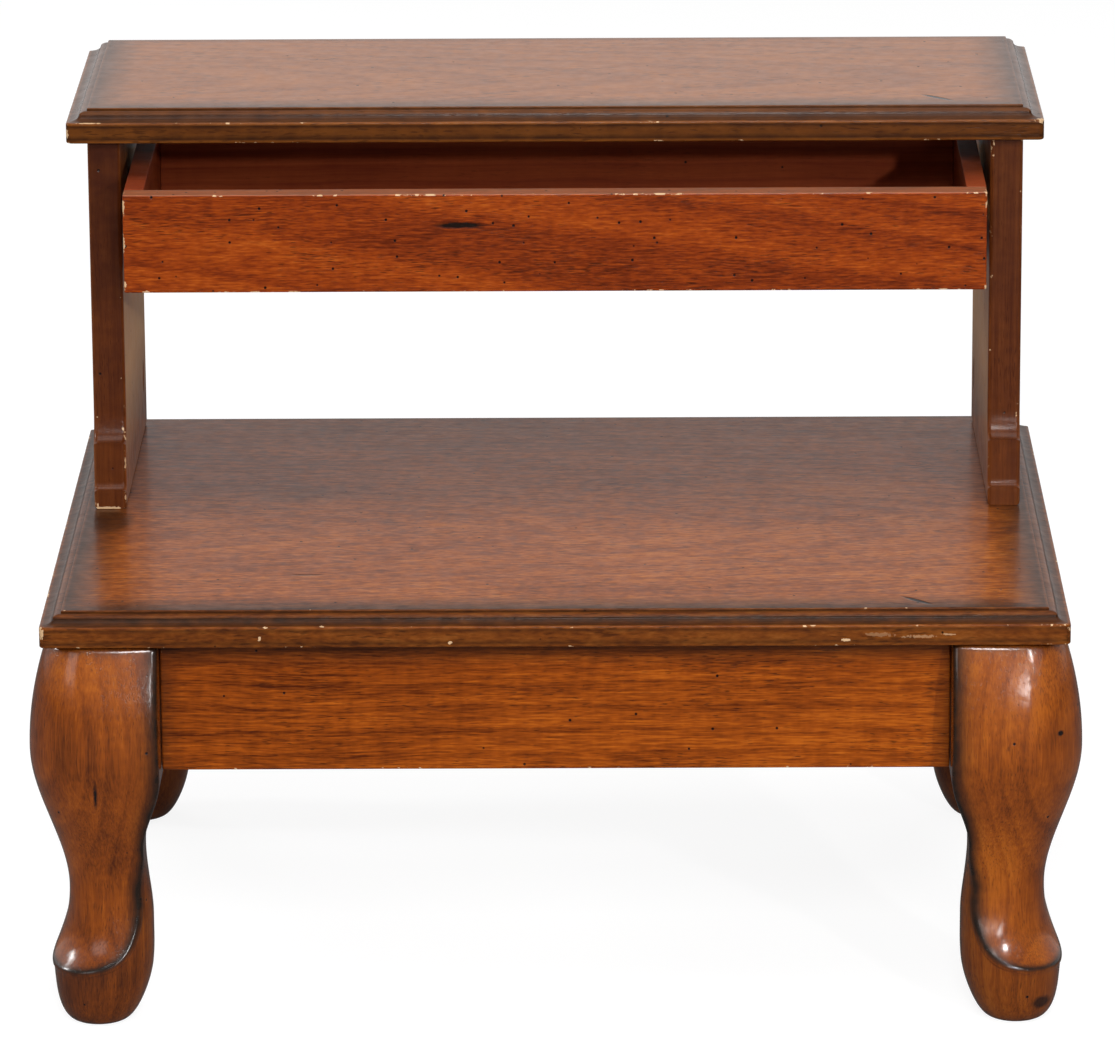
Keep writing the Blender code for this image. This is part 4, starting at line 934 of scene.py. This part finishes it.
def columnShape(z):
    # outer inset, inner inset and corner radius of the pad and the block
    g = leg
    rise = np.clip(z / g["padHeight"], 0, 1)
    padRadius = blend(g["padSole"], g["padRadius"], np.sqrt(rise * (2 - rise)))
    sweepFoot = g["blockFoot"] - g["sweep"]
    neck = blend(g["padCentre"] + g["padRadius"], g["ankleInner"],
                 rising(z, g["neckHeight"], sweepFoot - g["neckHeight"]))
    block = blend(g["ankleInner"], g["blockInner"], rising(z, sweepFoot, g["sweep"]))
    inner = np.where(z >= sweepFoot, block, neck)
    square = rising(z, g["ankleHeight"], g["blockFoot"] - g["ankleHeight"])
    outer = blend(g["padCentre"] - g["padRadius"], -2 * g["kneeBulge"] - g["padRadius"], square)
    half = (inner - outer) / 2
    corner = blend(half, g["blockArris"], square ** 0.8)
    pad = z < g["padHeight"]
    centre = g["padCentre"] - g["padLean"] * (1 - ease(z / g["toeHeight"]))   # the sole leans out a little
    return (np.where(pad, centre - padRadius, outer), np.where(pad, centre + padRadius, inner),
            np.where(pad, padRadius, corner))


def roundCorner(da, db, corner):
    return np.hypot(np.maximum(da, 0), np.maximum(db, 0)) + np.minimum(np.maximum(da, db), 0) - corner


def legFields(a, b, z):
    # distances outside the sawn blank and outside the column, in mm
    edge = blankEdge(z)
    corner = blankRound(z)
    middle = leg["crownMiddle"]
    crown = leg["crown"] * rising(z, *leg["crownFade"]) / middle ** 2
    da = edge + corner + crown * (b - middle) ** 2 - a
    db = edge + corner + crown * (a - middle) ** 2 - b
    blank = roundCorner(da, db, corner)
    outer, inner, corner = columnShape(z)
    middle = (outer + inner) / 2
    half = (inner - outer) / 2 - corner
    column = roundCorner(np.abs(a - middle) - half, np.abs(b - middle) - half, corner)
    return blank, column


def softMax(x, y, width):
    h = np.clip(0.5 + 0.5 * (x - y) / width, 0, 1)
    return blend(y, x, h) + width * h * (1 - h)


def legOutside(a, b, z):
    # the instep ends in a lip that stands proud of the pad
    blank, column = legFields(a, b, z)
    proud = leg["lip"] * (1 - rising(z, *leg["lipFade"])) * ease((blank + leg["lipReach"]) / leg["lipRise"])
    arris = blend(*leg["arris"], rising(z, *leg["arrisFade"]))
    outside = softMax(blank, column - proud, arris)
    outside = softMax(outside, z - leg["top"], leg["topArris"])
    seat = (a + b - leg["braceSeat"]) / math.sqrt(2)
    return np.where(z > leg["braceFoot"], np.maximum(outside, seat), outside)


def hardOutside(a, b, z):
    return np.maximum(*legFields(a, b, z))


def legSurface(outsideOf, z, angle):
    # radius at which each ray from the leg's middle leaves the solid, by halving
    c = leg["middle"]
    near = np.zeros(np.broadcast(z, angle).shape)
    far = near + leg["farthest"]
    for halving in range(leg["halvings"]):
        half = (near + far) / 2
        outside = outsideOf(c + half * np.cos(angle), c + half * np.sin(angle), z) > 0
        far = np.where(outside, half, far)
        near = np.where(outside, near, half)
    return c + near * np.cos(angle), c + near * np.sin(angle)


def legRows():
    # heights in mm, closest at the lip and the top
    g = leg
    toe = g["toeHeight"]
    pad = toe * np.array(g["padRows"])
    rim = np.arange(toe - g["rimBelow"], toe + g["rimAbove"], g["rimRows"])
    foot = np.arange(toe + g["footStart"], g["ankleHeight"], g["footRows"])
    shin = np.arange(g["ankleHeight"], g["blockFoot"], g["shinRows"])
    block = np.arange(g["blockFoot"], g["braceFoot"] - 0.5, g["blockRows"])
    brace = np.array([g["braceFoot"] - 0.01, g["braceFoot"] + 0.01])
    upper = np.arange(g["braceFoot"] + 2, g["top"] - 3.5, g["upperRows"])
    crown = g["top"] - np.array(g["topRows"])
    return np.concatenate([pad, rim, foot, shin, block, brace, upper, crown])


def cabrioleLeg(end, side, sx, sy):
    node = f"leg_{end}_{side}"
    z = legRows()[:, None]
    toeHeading = 1.25 * math.pi

    # how far round from the toe the sawn face meets the column, where a line of vertices follows the arris
    sweep = np.linspace(0, math.pi, leg["rayCount"])[None, :]
    a, b = legSurface(hardOutside, z, toeHeading + sweep)
    blank, column = legFields(a, b, z)
    spread = np.max(np.where(blank > column, sweep, 0), axis=1)
    steady = spread[np.argmin(np.abs(z[:, 0] - leg["arrisFoot"]))]
    spread = np.maximum(spread, steady)
    spread = np.convolve(np.pad(spread, 2, mode="edge"), np.ones(5) / 5, mode="valid")[:, None]
    count = leg["columns"]
    share = np.linspace(-1, 1, count, endpoint=False)
    crowded = np.sign(share) * (1 - (1 - np.abs(share)) ** leg["crowding"])
    front = toeHeading + spread * crowded[None, :]
    back = toeHeading + math.pi + (math.pi - spread) * crowded[None, :]
    angle = np.concatenate([front, back], axis=1)
    a, b = legSurface(legOutside, z, angle)
    blank, column = legFields(a, b, z)
    gap = np.abs(blank - column)
    reach = blend(leg["glazeToe"], leg["glazeShin"], rising(z, *leg["shinFade"]))
    outward = blend(reach * leg["outwardShare"], leg["glazeBlock"], rising(z, *leg["blockFade"]))
    glaze = np.exp(-(gap / np.where(column > blank, reach, outward)) ** 2)
    # painted shade at the top under the board, and glaze with painted shade on the inner sides of the feet
    top = leg["topGlaze"] * rising(z, leg["top"] - leg["topReach"], leg["topReach"])
    inwardGlazeAndShade = leg["innerGlazeAndShade"] * (column > blank) * (1 - rising(z, *leg["inFade"]))
    glaze = np.maximum(np.maximum(glaze, top), inwardGlazeAndShade)
    halfWidth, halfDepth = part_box("lower_step_board")[1].xy
    bm = bmesh.new()
    glazeAndShadeLayer = bm.verts.layers.float.new("glaze")
    rings = []
    for r in range(len(z)):
        ring = []
        for k in range(2 * count):
            x = sx * (halfWidth - a[r, k] * mm)
            y = sy * (halfDepth - b[r, k] * mm)
            vert = bm.verts.new((x, y, z[r, 0] * mm))
            vert[glazeAndShadeLayer] = glaze[r, k]
            ring.append(vert)
        rings.append(ring)
    for below, above in zip(rings, rings[1:]):
        for k in range(2 * count):
            j = (k + 1) % (2 * count)
            bm.faces.new((below[k], below[j], above[j], above[k]))
    bm.faces.new(rings[0])
    bm.faces.new(rings[-1])
    return addPiece(node + "_carved", bm, legMaterial, "stool", node, sharpAngle=60)


for end, sy in (("front", -1), ("back", 1)):
    for side, sx in (("left", -1), ("right", 1)):
        cabrioleLeg(end, side, sx, sy)
print("legs made")


# Inner pieces keep their solids and get their finishes

innerFinish = {
    "drawer_side": (poplarMaterial, 0.7), "drawer_back": (poplarMaterial, 0.7),
    "drawer_bottom": (plywoodMaterial, 0.0), "corner_brace": (pineMaterial, 0.0),
    "drawer_runner": (beechMaterial, 0.0), "dowel": (beechMaterial, 0.0),
    "leg_bolt": (zincMaterial, 0.0), "brace_screw": (zincMaterial, 0.0), "panel_screw": (zincMaterial, 0.0),
    "pocket_screw": (zincMaterial, 0.0), "runner_screw": (zincMaterial, 0.0),
}
for name, node in nodes.items():
    for start, (material, arris) in innerFinish.items():
        if name.startswith(start):
            node.data.materials.clear()
            node.data.materials.append(material)
            if arris:
                node.modifiers.new("weld", "WELD").merge_threshold = 0.00001
                bevel = node.modifiers.new("arris", "BEVEL")
                bevel.width = arris * mm
                bevel.segments = 2
                bevel.limit_method = "ANGLE"
                evenNormals(node)
print("inner pieces finished")
